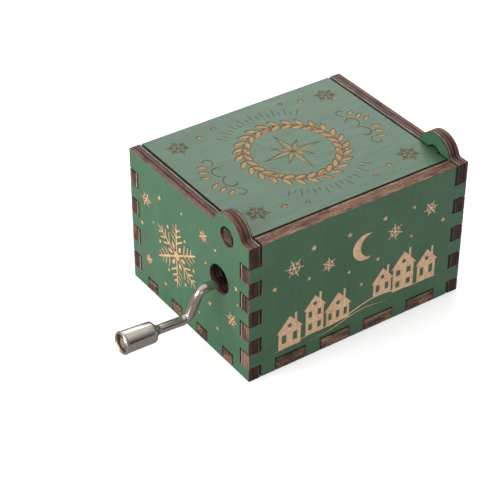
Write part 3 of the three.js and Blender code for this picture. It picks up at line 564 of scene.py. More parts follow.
def settle(piece, smooth=SMOOTH_ANGLE):
    """Applies a piece's modifiers, and shades it smooth up to an angle."""
    apply_modifiers(piece)
    mesh = piece.data
    mesh.polygons.foreach_set("use_smooth", [True] * len(mesh.polygons))
    mesh.set_sharp_from_angle(angle=smooth)
    return piece


def softened(piece, width):
    """Breaks every sharp edge of a piece."""
    bevel = piece.modifiers.new("arris", "BEVEL")
    bevel.width = width
    bevel.segments = 2
    bevel.limit_method = "ANGLE"
    bevel.angle_limit = SHARP_ANGLE
    bevel.use_clamp_overlap = True
    settle(piece, math.radians(60))
    weigh = piece.modifiers.new("even_shading", "WEIGHTED_NORMAL")
    weigh.keep_sharp = True
    apply_modifiers(piece)
    return piece


def refined(node_name, piece_name, width, finish):
    """A copy of a solid with its loose triangles merged and its edges broken."""
    shape = bmesh.new()
    shape.from_mesh(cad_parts[node_name].data)
    bmesh.ops.remove_doubles(shape, verts=shape.verts, dist=SOLID_MERGE_DISTANCE)
    bmesh.ops.dissolve_limit(shape, angle_limit=FLAT_ANGLE, verts=shape.verts, edges=shape.edges)
    mesh = bpy.data.meshes.new(piece_name)
    shape.to_mesh(mesh)
    shape.free()
    mesh.materials.clear()
    mesh.materials.append(finish)
    for face in mesh.polygons:
        face.material_index = 0
    return softened(new_object(piece_name, mesh), width)


def face_out(piece, merge=MERGE_DISTANCE, capped=False):
    """Merges doubles, drops loose points, caps open ends if asked, and turns the faces outwards."""
    shape = bmesh.new()
    shape.from_mesh(piece.data)
    bmesh.ops.remove_doubles(shape, verts=shape.verts, dist=merge)
    bmesh.ops.delete(shape, geom=[v for v in shape.verts if not v.link_faces], context="VERTS")
    if capped:
        bmesh.ops.holes_fill(shape, edges=[e for e in shape.edges if e.is_boundary], sides=0)
    bmesh.ops.recalc_face_normals(shape, faces=shape.faces)
    shape.to_mesh(piece.data)
    shape.free()


def trimmed(corners):
    """A face's corners without those that coincide."""
    return [corner for number, corner in enumerate(corners) if corner not in corners[:number]]


def belts(rings):
    """The faces between each ring and the next one, which has as many corners."""
    return [trimmed(corners) for low, high in zip(rings, rings[1:])
            for corners in zip(low, low[1:] + low[:1], high[1:] + high[:1], high)]


def turned(name, section, start, axis, finish, sides=96):
    """A turned piece. Its section gives radius and distance from the start in millimetres."""
    across = axis.orthogonal().normalized()
    other = axis.cross(across).normalized()
    verts, rows, chart = [], [], []
    widest = max(radius for radius, _ in section) * MM
    run = 0.0
    for number, (radius, distance) in enumerate(section):
        centre = start + axis * (distance * MM)
        if number:
            run += math.dist(section[number - 1], section[number]) * MM
        if radius == 0:
            rows.append([len(verts)] * sides)
            verts.append(centre)
            chart.append((run, 0, 0))
            continue
        rows.append(list(range(len(verts), len(verts) + sides)))
        for i in range(sides):
            angle = math.tau * i / sides
            spoke = across * math.cos(angle) + other * math.sin(angle)
            verts.append(centre + spoke * (radius * MM))
            chart.append((run, math.cos(angle) * widest, math.sin(angle) * widest))
    if section[0] == section[-1]:
        rows[-1] = rows[0]
    made = built(name, verts, belts(rows), finish)
    store(made.data, "turning", chart)
    face_out(made)
    return made


def joined(name, pieces):
    """One piece made of several that sit in each other."""
    shape = bmesh.new()
    finishes = []
    for piece in pieces:
        first = len(shape.faces)
        shape.from_mesh(piece.data)
        shape.faces.ensure_lookup_table()
        for face in shape.faces[first:]:
            finish = piece.data.materials[face.material_index]
            if finish not in finishes:
                finishes.append(finish)
            face.material_index = finishes.index(finish)
    made = built(name, [], [], *finishes)
    shape.to_mesh(made.data)
    shape.free()
    for piece in pieces:
        bpy.data.objects.remove(piece)
    return made


# Flat ornament, in millimetres
UPWARD = math.pi / 2


def along(angle, length=1.0):
    return Vector((math.cos(angle), math.sin(angle))) * length


def runs_of(ring):
    return zip(ring, ring[1:] + ring[:1])


def corners_of(ring):
    """Each corner of a ring with its neighbours."""
    return zip(ring[-1:] + ring[:-1], ring, ring[1:] + ring[:1])


def inset(ring, distance):
    """A ring of corners moved sideways, to the left of its run, with mitred corners."""
    moved = []
    for before, here, after in corners_of(ring):
        a, b = (here - before).normalized(), (after - here).normalized()
        moved.append(here + Vector((-a.y - b.y, a.x + b.x)) * distance / (1 + a.dot(b)))
    return moved


def signed_area(ring):
    return sum(a.x * b.y - b.x * a.y for a, b in runs_of(ring)) / 2


def left_handed(ring):
    return ring if signed_area(ring) > 0 else ring[::-1]


def disc(centre, radius, sides=18):
    return [centre + along(math.tau * i / sides, radius) for i in range(sides)]


def box_ring(centre, width, height):
    x, y = width / 2, height / 2
    return [centre + Vector(spot) for spot in ((-x, -y), (x, -y), (x, y), (-x, y))]


def star(centre, outer, inner, points, turn=UPWARD):
    return [centre + along(turn + math.pi * i / points, inner if i % 2 else outer)
            for i in range(points * 2)]


def stroke(points, width, tip):
    """The outline of a pen stroke along a line, narrower at its ends."""
    last = len(points) - 1
    left, right = [], []
    for i, here in enumerate(points):
        run = (points[min(i + 1, last)] - points[max(i - 1, 0)]).normalized()
        half = width / 2 * (tip + (1 - tip) * math.sin(math.pi * i / last))
        side = Vector((-run.y, run.x)) * half
        left.append(here + side)
        right.append(here - side)
    start, end = ((a - b).normalized() * width / 2 * tip
                  for a, b in ((points[0], points[1]), (points[-1], points[-2])))
    return right + [points[-1] + end] + left[::-1] + [points[0] + start]


def spiral(centre, turn, start_radius, end_radius, sweep, steps=28):
    """Points on a curl about a centre, from one radius and angle to another."""
    shares = [i / steps for i in range(steps + 1)]
    return [centre + along(turn + sweep * share, start_radius + (end_radius - start_radius) * share)
            for share in shares]


def leaf(base, angle, length, width, steps=7):
    run, side = along(angle), along(angle + UPWARD)
    bulge = [math.sin(math.pi * i / steps) ** 0.8 * width / 2 for i in range(1, steps)]
    stations = [length * i / steps for i in range(1, steps)]
    right, left = ([base + run * s + side * (b * hand) for s, b in zip(stations, bulge)]
                   for hand in (-1, 1))
    return [base] + right + [base + run * length] + left[::-1]


def filled(ring):
    """A mark burnt flat inside a ring."""
    return ("fill", [left_handed(ring)])


def lined(ring, width=OUTLINE):
    """A mark burnt along a closed ring."""
    ring = left_handed(ring)
    return ("line", [inset(ring, -width / 2), inset(ring, width / 2)])


def drawn(points, width=STROKE, tip=0.7):
    return ("line", [left_handed(stroke(points, width, tip))])


def outlined(ring, width):
    return [filled(ring), lined(ring, width)]


def ray(foot, angle, length, width, tip):
    """A straight stroke of two runs."""
    return drawn([foot, foot + along(angle, length / 2), foot + along(angle, length)], width, tip)


def snowflake(centre, radius, width=STROKE, turn=UPWARD, pairs=3):
    """Six arms with pairs of twigs, shorter towards the tip."""
    marks = []
    for arm in range(6):
        angle = turn + arm * math.pi / 3
        marks.append(ray(centre, angle, radius, width, 0.8))
        for pair in range(pairs):
            foot = centre + along(angle, radius * (0.38 + 0.19 * pair))
            twig = radius * (0.34 - 0.07 * pair)
            for side in (-1, 1):
                end = foot + along(angle + side * math.pi / 3.4, twig)
                marks.append(drawn([foot, (foot + end) / 2, end], width * 0.85, 0.8))
    marks.append(filled(disc(centre, radius * 0.13, 12)))
    return marks


def small_flakes(spots, turn=0.0):
    """Snowflakes at x and y with a radius, each turned by another angle."""
    return [mark for x, y, radius in spots
            for mark in snowflake(Vector((x, y)), radius, 0.42, turn + x, 1)]


def small_stars(spots, spun=False):
    """Stars at x and y with a size. Spun ones are each turned by another angle."""
    return [filled(star(Vector((x, y)), size, size * 0.45, 5, x if spun else UPWARD))
            for x, y, size in spots]


def house(foot, width, wall, roof, storeys, windows, eave=0.7, chimney=0.7):
    """A gabled house in silhouette, with windows left in stain, wide eaves and a chimney."""
    half = width / 2
    left, right = foot.x - half, foot.x + half
    top, peak = foot.y + wall, foot.y + wall + roof
    slope = roof / (half + eave)
    stack = foot.x + width * 0.22
    stack_foot = peak - slope * (stack - foot.x)
    outline = [Vector(spot) for spot in (
        (left, foot.y), (right, foot.y), (right, top), (right + eave, top),
        (stack + chimney, stack_foot - slope * chimney), (stack + chimney, peak + 0.5),
        (stack, peak + 0.5), (stack, stack_foot), (foot.x, peak), (left - eave, top), (left, top))]
    gaps = []
    pane_width, pane_height = width / (windows * 2.4 + 0.6), wall / (storeys * 2.1)
    for storey in range(storeys):
        for number in range(windows):
            centre = Vector((left + width * (number + 0.5) / windows,
                             foot.y + wall * (storey + 0.58) / storeys))
            gaps.append(box_ring(centre, pane_width, pane_height))
    gaps.append(disc(Vector((foot.x, top + roof * 0.34)), min(0.6, roof * 0.14), 12))
    return ("fill", [left_handed(ring) for ring in [outline] + gaps])


def crescent(centre, radius, hollow, shift, steps=22):
    """A new moon: a disc less a smaller disc set to one side."""
    reach = (radius ** 2 - hollow ** 2 + shift ** 2) / (2 * shift)
    half_outer = math.acos(reach / radius)
    half_inner = math.acos((reach - shift) / hollow)
    outer = [centre + along(half_outer + (math.tau - 2 * half_outer) * i / steps, radius)
             for i in range(steps + 1)]
    inner = [centre + Vector((shift, 0)) + along(math.tau - half_inner
             - (math.tau - 2 * half_inner) * i / steps, hollow) for i in range(1, steps)]
    return filled(outer + inner)


def hill(x):
    """The height of the snow across the front."""
    return 7.6 + 1.6 * math.sin(x / 9.5 + 0.6) + 0.5 * math.sin(x / 3.3)


def front_marks():
    """A village on a snowy hill under a new moon."""
    marks = [drawn([Vector((x, hill(x) - 0.25)) for x in range(-26, 27)], 0.5, 0.3),
             drawn([Vector((x, hill(x + 4) - 2.3)) for x in range(-17, 12)], 0.36, 0.2)]
    village = [
        (-20.6, 6.6, 5.0, 4.4, 1, 2), (-13.2, 5.4, 7.6, 3.8, 2, 2), (-6.2, 7.0, 4.4, 4.6, 1, 3),
        (7.4, 5.6, 4.2, 4.0, 1, 2), (14.0, 6.6, 7.0, 4.6, 2, 2), (21.4, 5.8, 5.2, 4.2, 1, 2)]
    for x, width, *shape in village:
        foot = Vector((x, min(hill(x - width / 2), hill(x + width / 2)) - 0.2))
        marks.append(house(foot, width, *shape))
    marks.append(crescent(Vector((1.6, 26.0)), 3.9, 3.3, 1.8))
    marks += small_flakes((
        (-19.5, 28.4, 2.7), (-9.4, 25.2, 2.1), (10.6, 26.8, 2.4), (21.6, 29.4, 2.2)), UPWARD)
    return marks + small_stars((
        (-14.0, 32.0, 1.0), (-25.2, 24.6, 0.9), (-3.4, 31.4, 0.9), (7.2, 32.0, 0.9),
        (5.6, 20.6, 0.8), (16.2, 31.8, 0.75), (25.8, 24.4, 0.85), (-15.2, 23.6, 0.7),
        (-3.2, 20.4, 0.7), (0.8, 15.0, 0.75), (15.8, 23.4, 0.7)))


def crank_side_marks():
    """One large snowflake among small ones, stars and dots."""
    centre = Vector((-5.2, 18.6))
    marks = snowflake(centre, 9.6, 0.62)
    for arm in range(6):
        angle = math.pi / 3 * (arm + 0.5) + UPWARD
        marks += [filled(leaf(centre + along(angle, 1.7), angle, 2.3, 1.1)),
                  filled(disc(centre + along(angle, 7.6), 0.5, 12))]
    marks += small_flakes((
        (-18.8, 27.8, 2.4), (6.8, 31.6, 1.9), (18.8, 14.2, 2.3), (-18.4, 9.6, 1.6)))
    return marks + small_stars((
        (-12.6, 31.6, 1.0), (-21.2, 19.4, 0.85), (12.0, 30.6, 0.75), (9.4, 13.2, 0.95),
        (20.6, 24.6, 0.9), (7.8, 24.4, 0.6), (-2.6, 32.6, 0.65), (12.6, 7.6, 0.8), (4.6, 7.4, 0.6),
        (-10.8, 6.6, 0.75), (21.2, 20.2, 0.5), (-15.8, 22.6, 0.5)), spun=True)


def far_side_marks():
    """Snowflakes of three sizes with stars between them."""
    marks = []
    for x, y, radius, pairs in ((-2.6, 19.2, 8.4, 3), (-18.2, 27.4, 3.2, 2), (13.2, 9.8, 3.4, 2),
                                (-15.8, 9.4, 2.2, 1), (18.6, 19.6, 2.2, 1), (6.6, 30.6, 1.9, 1)):
        marks += snowflake(Vector((x, y)), radius, 0.3 + radius * 0.035, x, pairs)
    return marks + small_stars((
        (-12.2, 31.0, 0.9), (-21.0, 18.4, 0.8), (11.2, 25.6, 0.95), (-8.4, 7.2, 0.8),
        (20.4, 27.2, 0.75), (5.2, 6.8, 0.7), (-13.4, 19.4, 0.6), (20.8, 10.4, 0.7)), spun=True)


def back_marks():
    """A garland of leaves hung in three swags, with a star at each end and snowflakes under it."""
    marks = []
    nail_height, sag, reach = 28.6, 6.4, 16.4
    for swag in (-1, 0, 1):
        shares = [i / 24 * 2 - 1 for i in range(25)]
        line = [Vector(((swag + share / 2) * reach, nail_height - sag * (1 - share * share)))
                for share in shares]
        marks.append(drawn(line, 0.34, 0.6))
        for here, after in zip(line[1::2], line[2::2]):
            run = after - here
            for turn in (0.7, -0.7):
                marks.append(filled(leaf(here, math.atan2(run.y, run.x) + turn, 2.3, 0.95)))
    for i in range(4):
        marks.append(filled(star(Vector(((i - 1.5) * reach, nail_height + 1.0)), 1.7, 0.75, 5)))
    for swag in (-1, 0, 1):
        marks += snowflake(Vector((swag * reach, 12.4)), 3.6, 0.44, pairs=2)
    return marks + small_stars((
        (-8.2, 17.6, 0.8), (8.2, 17.6, 0.8), (-23.4, 16.4, 0.75), (23.4, 16.4, 0.75),
        (-8.2, 8.6, 0.6), (8.2, 8.6, 0.6)))


def wreath(middle, radius):
    """Pairs of leaves round a ring, with berries in threes."""
    marks = [lined(disc(middle, radius, 72), 0.3)]
    sprigs, clusters = 26, 6
    for i in range(sprigs):
        angle = math.tau * i / sprigs
        for turn in (0.62, -0.62):
            stem = middle + along(angle, radius)
            marks += outlined(leaf(stem, angle + UPWARD + turn, 3.7, 1.45), 0.22)
    for i in range(clusters):
        angle = math.tau * (i + 0.5) / clusters
        for shift, spread in ((0.0, 0.95), (0.075, -0.55), (-0.075, -0.55)):
            marks += outlined(disc(middle + along(angle + shift, radius + spread), 0.62, 14), 0.2)
    return marks


def compass_star(middle):
    """Eight points, each filled on one side only, in a ring of dots."""
    marks = []
    points, dots = 8, 24
    for i in range(points):
        angle = UPWARD + math.tau * i / points
        reach, shoulder = (5.4, 2.0) if i % 2 else (8.2, 2.5)
        tip = middle + along(angle, reach)
        left, right = (middle + along(angle + side * math.pi / points, shoulder)
                       for side in (1, -1))
        marks += [filled([middle, right, tip]), lined([middle, right, tip, left], 0.2)]
    for i in range(dots):
        marks.append(filled(disc(middle + along(math.tau * (i + 0.5) / dots, 9.4), 0.26, 8)))
    return marks


def lid_corner(middle, side, upward):
    """Two curls with leaves, a snowflake and two small stars in one corner of the lid."""
    def spot(x, y):
        return middle + Vector((side * x, upward * y))

    hand, foot = side * upward, -upward * UPWARD
    marks = [drawn(spiral(spot(19.6, 3.1), foot, 3.2, 0.6, hand * 4.2), 0.42, 0.35),
             drawn(spiral(spot(20.8, 7.7), foot, 2.2, 0.5, -hand * 4.4), 0.34, 0.35)]
    for step in range(3):
        base = spot(23.2 - step * 0.9, 1.4 + step * 2.2)
        marks += outlined(leaf(base, UPWARD * (1 - side) + hand * 0.5, 2.7, 1.1), 0.2)
    marks += snowflake(spot(22.6, 17.0), 3.1, 0.36, pairs=2)
    for x, y, size in ((15.6, 18.2, 0.95), (10.2, 20.0, 0.7)):
        marks += outlined(star(spot(x, y), size, size * 0.45, 5), 0.16)
    return marks


def lid_marks():
    """A wreath round an eight-pointed star, with curls, rays and snowflakes."""
    middle = Vector((0.0, 2.0))
    marks = wreath(middle, 12.4) + compass_star(middle)
    for side in (-1, 1):
        for upward in (-1, 1):
            marks += lid_corner(middle, side, upward)
    for i in range(-8, 9):
        for upward in (-1, 1):
            angle = upward * UPWARD + i * 0.085
            marks.append(ray(middle + along(angle, 16.9), angle, 1.7 if i % 2 else 3.2, 0.26, 0.4))
    return marks


# Plywood panels
# RIM is the finish for long edges that face up; on the front and back it is painted lighter, as
# painted light
STAIN, EDGE, FILL, LINE, WALL, RIM = range(6)
RIM_LENGTH = 20
DEPTHS = {"fill": (FILL_DEPTH, FILL), "line": (LINE_DEPTH, LINE)}
SNAP = 0.001
STRAIGHT_SINE = 0.002
WELD = 0.00002
OVERLAPPING_INSIDES = 1


def middle_of(ring):
    return sum(ring, Vector((0, 0))) / len(ring)


class Panel:
    """A flat board: the rings of corners read from its solid, and the skin built on them."""

    def __init__(self, name, right, up, thickness_axis, side):
        self.name = name
        self.right, self.up = Vector(right), Vector(up)
        self.out = self.right.cross(self.up)
        low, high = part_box(name)
        self.thickness = (high - low)[thickness_axis] / MM
        self.level = (high if side > 0 else low).dot(self.out)
        self.outer = self.rings_at(self.level)
        self.inner = [ring[::-1] for ring in self.rings_at(self.level - self.thickness * MM)]
        self.points, self.scorch, self.index = [], [], {}
        self.faces, self.finishes, self.charts, self.topsides = [], [], [], []

    def rings_at(self, level):
        """The rings of corners round the flat faces at a level, with wood on their left."""
        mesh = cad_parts[self.name].data
        spots = [(round(v.co.dot(self.right) / MM / SNAP), round(v.co.dot(self.up) / MM / SNAP),
                  abs(v.co.dot(self.out) - level) < SNAP * MM) for v in mesh.vertices]
        rim = set()
        for face in mesh.polygons:
            corners = [spots[i] for i in face.vertices]
            if all(on_level for _, _, on_level in corners):
                for a, b in runs_of(corners):
                    if (b, a) in rim:
                        rim.remove((b, a))
                    else:
                        rim.add((a, b))
        follow = dict(rim)
        rings = []
        while follow:
            here = next(iter(follow))
            ring = []
            while here in follow:
                ring.append(Vector(here[:2]) * SNAP)
                here = follow.pop(here)
            rings.append(self.straightened(ring))
        return sorted(rings, key=lambda ring: -abs(signed_area(ring)))

    @staticmethod
    def straightened(ring):
        """A ring without the corners that lie on a straight edge."""
        kept = []
        for before, here, after in corners_of(ring):
            a, b = (here - before).normalized(), (after - here).normalized()
            if abs(a.x * b.y - a.y * b.x) > STRAIGHT_SINE:
                kept.append(here)
        return kept

    def corner(self, spot, depth, scorch=1.0):
        key = (round(spot.x, 3), round(spot.y, 3), round(depth, 4))
        if key not in self.index:
            self.index[key] = len(self.points)
            flat = self.right * spot.x + self.up * spot.y
            self.points.append(flat * MM + self.out * (self.level - depth * MM))
            self.scorch.append(scorch)
        return self.index[key]

    def face(self, corners, finish, chart=None, topside=0.0):
        if len(set(corners)) == len(corners) and len(corners) > 2:
            self.faces.append(corners)
            self.finishes.append(finish)
            self.charts.append(chart or [(0.0, 0.0)] * len(corners))
            self.topsides.append(topside)

    def lay_skin(self, rings, depth, marks, inward):
        """Covers a face between its rings. Marks sink into it, each to its own depth."""
        arris = [inset(ring, ARRIS) for ring in rings]
        safe = [inset(ring, SCORCH_WIDTH) for ring in rings]
        spots, loops = [], []
        for ring in arris + safe + [part for _, parts in marks for part in parts]:
            loops.append(list(range(len(spots), len(spots) + len(ring))))
            spots += left_handed(ring)
        rim_count = sum(len(ring) for ring in arris)
        found, _, triangles, origins, _, owners = delaunay_2d_cdt(
            spots, [], loops, OVERLAPPING_INSIDES, WELD, True)
        sinks = []
        first = len(arris) * 2
        for kind, parts in marks:
            sinks.append((first, set(range(first + 1, first + len(parts))), DEPTHS[kind]))
            first += len(parts)
        holes = set(range(1, len(arris)))
        levels = {}
        for number, owned in enumerate(map(set, owners)):
            if 0 in owned and not owned & holes:
                levels[number] = max([(0.0, STAIN)] + [
                    sink for whole, gaps, sink in sinks if whole in owned and not owned & gaps])
        heat = [0.0 if min(origin, default=rim_count) >= rim_count else 1.0 for origin in origins]
        seams, heights = {}, {}
        for number, (sink, finish) in levels.items():
            corners = list(triangles[number])
            for corner in corners:
                heights.setdefault(corner, set()).add(sink)
            placed = [self.corner(found[c], depth + sink, heat[c]) for c in corners]
            self.face(placed[::-1] if inward else placed, finish)
            for a, b in runs_of(corners):
                seams.setdefault((min(a, b), max(a, b)), []).append((sink, a, b))
        for sides in seams.values():
            if len(sides) == 2 and sides[0][0] != sides[1][0]:
                (high, a, b), (low, _, _) = sorted(sides)
                steps = {c: [h for h in sorted(heights[c]) if high <= h <= low] for c in (a, b)}
                wall = [(b, steps[b][0])] + [(a, h) for h in steps[a]]
                wall += [(b, h) for h in reversed(steps[b][1:])]
                self.face([self.corner(found[c], depth + h, 0.0) for c, h in wall], WALL)

    def ring_corners(self, upper, lower, i, j):
        """A wall's four corners between two rings, each with a depth."""
        return [self.corner(ring[k], depth) for (ring, depth), k in (
            (upper, j), (upper, i), (lower, i), (lower, j))]

    def band(self, ring, upper, lower):
        """Walls between two rings, each given with its depth, that both follow one ring."""
        run = 0.0
        for i, (here, after) in enumerate(runs_of(ring)):
            length = (after - here).length
            end = run + length
            chart = [(end, upper[1]), (run, upper[1]), (run, lower[1]), (end, lower[1])]
            run = end
            leftwards = here.x - after.x
            corners = self.ring_corners(upper, lower, i, (i + 1) % len(ring))
            # a long run that faces up takes the RIM finish, painted lighter as painted light; the
            # share it faces up drives painted shade
            self.face(corners, RIM if leftwards > RIM_LENGTH else EDGE, chart, leftwards / length)

    def wall(self, ring, top, bottom):
        """The cut edge along a ring, with both its arrises broken."""
        eased = inset(ring, ARRIS)
        self.band(ring, (eased, top), (ring, top + ARRIS))
        self.band(ring, (ring, top + ARRIS), (ring, bottom - ARRIS))
        self.band(ring, (ring, bottom - ARRIS), (eased, bottom))

    def sunk_hole(self, hole, sink):
        """A hole with a wide mouth for a screw's head and a narrow way for its shank."""
        middle = middle_of(hole)
        near = min(self.inner[1:], key=lambda ring: (middle_of(ring) - middle).length)
        first = max(range(len(near)), key=lambda i: (near[i] - middle).dot(hole[0] - middle))
        narrow = near[first:] + near[:first]
        self.band(hole, (inset(hole, ARRIS), 0.0), (hole, ARRIS))
        self.band(hole, (hole, ARRIS), (hole, sink))
        mouth = inset(narrow, ARRIS)
        for i in range(len(hole)):
            self.face(self.ring_corners((hole, sink), (mouth, sink), i, (i + 1) % len(hole)), EDGE)
        self.wall(narrow, sink, self.thickness)

    def build(self, piece_name, marks, finishes, sink=None):
        self.lay_skin(self.outer, 0.0, marks, False)
        self.lay_skin(self.inner, self.thickness, [], True)
        self.wall(self.outer[0], 0.0, self.thickness)
        for hole in self.outer[1:]:
            if sink is None:
                self.wall(hole, 0.0, self.thickness)
            else:
                self.sunk_hole(hole, sink)
        piece = built(piece_name, self.points, self.faces, *finishes)
        mesh = piece.data
        mesh.polygons.foreach_set("material_index", self.finishes)
        chart = mesh.uv_layers.new(name="cut")
        flat = [value * MM for spots in self.charts for spot in spots for value in spot]
        chart.data.foreach_set("uv", flat)
        store(mesh, "scorch", self.scorch)
        store(mesh, "topside", self.topsides, "FACE")
        mesh.validate()
        return settle(piece, math.radians(30))


def wooden_case():
    """Each board has its face's right and up, thickness axis, outer side, marks and finishes."""
    # the long walls' top edges take the painted light finish
    long_walls = [stain_upright, dark_edge, bare_wood, pale_line, burnt_wall, painted_light_edge]
    short_walls = [stain_upright, side_edge, amber_wood, amber_wood, burnt_wall, side_edge]
    base = [stain_flat, floor_edge, gold_wood, brown_line, burnt_wall, floor_edge]
    cover = [stain_flat, lid_edge, gold_wood, brown_line, burnt_wall, lid_edge]
    boards = [
        ("front_panel", (1, 0, 0), (0, 0, 1), 1, -1, front_marks(), long_walls),
        ("back_panel", (-1, 0, 0), (0, 0, 1), 1, 1, back_marks(), long_walls),
        ("crank_side_panel", (0, -1, 0), (0, 0, 1), 0, -1, crank_side_marks(), short_walls),
        ("far_side_panel", (0, 1, 0), (0, 0, 1), 0, 1, far_side_marks(), short_walls),
        ("floor_panel", (1, 0, 0), (0, -1, 0), 2, -1, [], base),
        ("lid_panel", (1, 0, 0), (0, 1, 0), 2, 1, lid_marks(), cover),
    ]
    for name, right, up, axis, side, marks, finishes in boards:
        sink = SCREW_SINK if name == "floor_panel" else None
        board = Panel(name, right, up, axis, side).build(f"{name}_board", marks, finishes, sink)
        dressed(board, "lid" if name == "lid_panel" else "case", "green_ply", name)


wooden_case()

# Screws and pins, set out by geometry nodes
SCREW_SIZES = ("Head Radius", "Head Height", "Shank Radius", "Shank Length", "Slot Width")
SCREW_MERGE = 0.000001


def set_out_group(name, inputs):
    return new_group(name, {"Geometry": None, **inputs, "Material": None}, "GeometryNodeTree")


def give_instances(t, given, shape, turn):
    """Puts a shape on every point, makes it real and gives it the material that was named."""
    placed = t.get(0, "GeometryNodeInstanceOnPoints", {
        "Points": given["Geometry"], "Instance": shape, "Rotation": turn})
    real = t.get(0, "GeometryNodeRealizeInstances", {"Geometry": placed})
    return t.give("Geometry", geometry=t.get(0, "GeometryNodeSetMaterial", {
        "Geometry": real, "Material": given["Material"]}))


def screw_group():
    """A slotted cheese-head screw on every point, each driven home to its own angle."""
    t, given = set_out_group("slotted_screws", {
        "Head Radius": 0.0022, "Head Height": 0.0013, "Arris": 0.0002, "Shank Radius": 0.00115,
        "Shank Length": 0.005, "Slot Width": 0.0005, "Side Count": 64, "Seed": 3})
    head, height, arris = given["Head Radius"], given["Head Height"], given["Arris"]
    shank, foot, small = given["Shank Radius"], given["Shank Length"] * -1.0, arris * 0.3
    stations = [
        (0.0, foot), (shank - arris, foot), (shank, foot + arris), (shank, 0.0),
        (head - small, 0.0), (head, small), (head, height - arris), (head - small, height - small),
        (head - arris, height), (0.0, height)]
    per_row = given["Side Count"]
    rows = t.get("Mesh", "GeometryNodeMeshGrid", {
        "Size X": 1.0, "Size Y": 1.0, "Vertices X": len(stations), "Vertices Y": per_row})
    index = t.get(0, "GeometryNodeInputIndex")
    row = t.maths("FLOOR", index / per_row)
    angle = t.maths("MODULO", index, per_row) / (per_row - 1.0) * math.tau
    picks = []
    for choices in zip(*stations):
        pick = t.add("GeometryNodeIndexSwitch", {"Index": row}, data_type="FLOAT")
        while len(pick.index_switch_items) < len(stations):
            pick.index_switch_items.new()
        for number, choice in enumerate(choices):
            t.feed(pick.inputs[number + 1], choice)
        picks.append(Value(t, pick.outputs[0]))
    radius, level = picks
    place = t.combined(
        X=radius * t.maths("COSINE", angle), Y=radius * t.maths("SINE", angle), Z=level)
    skin = t.get(0, "GeometryNodeSetPosition", {"Geometry": rows, "Position": place})
    closed = t.get(0, "GeometryNodeMergeByDistance", {"Geometry": skin, "Distance": SCREW_MERGE})
    slot_size = t.combined(X=head * 3.0, Y=given["Slot Width"], Z=height)
    slot = t.get("Mesh", "GeometryNodeMeshCube", {"Size": slot_size})
    slot = t.get(0, "GeometryNodeTransform", {
        "Geometry": slot, "Translation": t.combined(Z=height)})
    cut = t.get("Mesh", "GeometryNodeMeshBoolean", {"Mesh 1": closed, "Mesh 2": slot},
                operation="DIFFERENCE", solver="EXACT")
    turn = t.get(1, "FunctionNodeRandomValue", {"Seed": given["Seed"], 2: 0.0, 3: math.pi},
                 data_type="FLOAT")
    return give_instances(t, given, cut, t.combined(Z=turn))


def pin_group():
    """A short steel pin on every point, standing along the point's own direction."""
    t, given = set_out_group("cylinder_pins", {
        "Radius": 0.00022, "Height": 0.0009, "Lean": 0.05, "Side Count": 12, "Seed": 5})
    shaft = t.get("Mesh", "GeometryNodeMeshCone", {
        "Vertices": given["Side Count"], "Radius Bottom": given["Radius"], "Depth": given["Height"],
        "Radius Top": given["Radius"] * 0.86})
    rise = t.get(0, "GeometryNodeInputNamedAttribute", {"Name": "rise"}, data_type="FLOAT_VECTOR")
    aim = t.get(0, "FunctionNodeAlignRotationToVector", {"Vector": rise}, axis="Z")
    low, high = (given["Lean"] * sign for sign in (-1, 1))
    lean = t.get(0, "FunctionNodeRandomValue", {
        "Seed": given["Seed"], 0: t.combined(X=low, Y=low), 1: t.combined(X=high, Y=high)},
        data_type="FLOAT_VECTOR")
    tilt = t.get(0, "FunctionNodeEulerToRotation", {0: lean})
    turn = t.get(0, "FunctionNodeRotateRotation", {0: aim, 1: tilt}, rotation_space="LOCAL")
    return give_instances(t, given, shaft, turn)


def set_out(name, points, group, values, directions=None):
    """A mesh that a geometry group builds on points, with its named inputs set."""
    piece = built(name, points, [])
    if directions:
        store(piece.data, "rise", directions)
    layout = piece.modifiers.new("layout", "NODES")
    layout.node_group = group
    for socket in group.interface.items_tree:
        if socket.in_out == "INPUT" and socket.name in values:
            layout[socket.identifier] = values[socket.name]
    return settle(piece, math.radians(35))


def screws():
    """Each kind's name, count, sizes in millimetres, 1 or -1 for head up or down, and seed."""
    group = screw_group()
    for name, count, sizes, up, seed in (
            ("comb_screw", 3, (2.2, 1.3, 1.15, 6.5, 0.5), 1, 3),
            ("front_bracket_screw", 2, (1.7, 1.1, 0.9, 3.3, 0.45), 1, 8),
            ("rear_bracket_screw", 2, (1.7, 1.1, 0.9, 3.3, 0.45), 1, 21),
            ("base_screw", 3, (2.3, 1.3, 1.2, 5.0, 0.55), -1, 14)):
        nodes = [f"{name}_{i + 1}" for i in range(count)]
        head_height = sizes[1] * MM
        points = []
        for solid in nodes:
            low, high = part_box(solid)
            seat = high.z - head_height if up > 0 else low.z + head_height
            middle = (low + high) / 2
            points.append(Vector((middle.x, middle.y * up, seat * up)))
        values = dict(zip(SCREW_SIZES, (size * MM for size in sizes)), Seed=seed, Material=nickel)
        piece = set_out(f"{name}s", points, group, values)
        if up < 0:
            piece.data.transform(Matrix.Rotation(math.pi, 4, "X"))
        dressed(piece, "case", "nickel", *nodes)


screws()


# Movement, in millimetres
def around(radius, angle, y):
    """A point on a circle about the cylinder's axis. The angle runs from up, towards +X."""
    return CYLINDER_AXIS + Vector((math.sin(angle) * radius, y, math.cos(angle) * radius)) * MM


def on_cylinder(name, section, start, finish, sides=96):
    """A piece turned about the cylinder's axis, from a distance along it."""
    return turned(name, section, CYLINDER_AXIS + Y_AXIS * (start * MM), Y_AXIS, finish, sides)


def on_shaft(x):
    """A point on the worm shaft's axis."""
    return Vector((x, SHAFT_AXIS.y, SHAFT_AXIS.z))


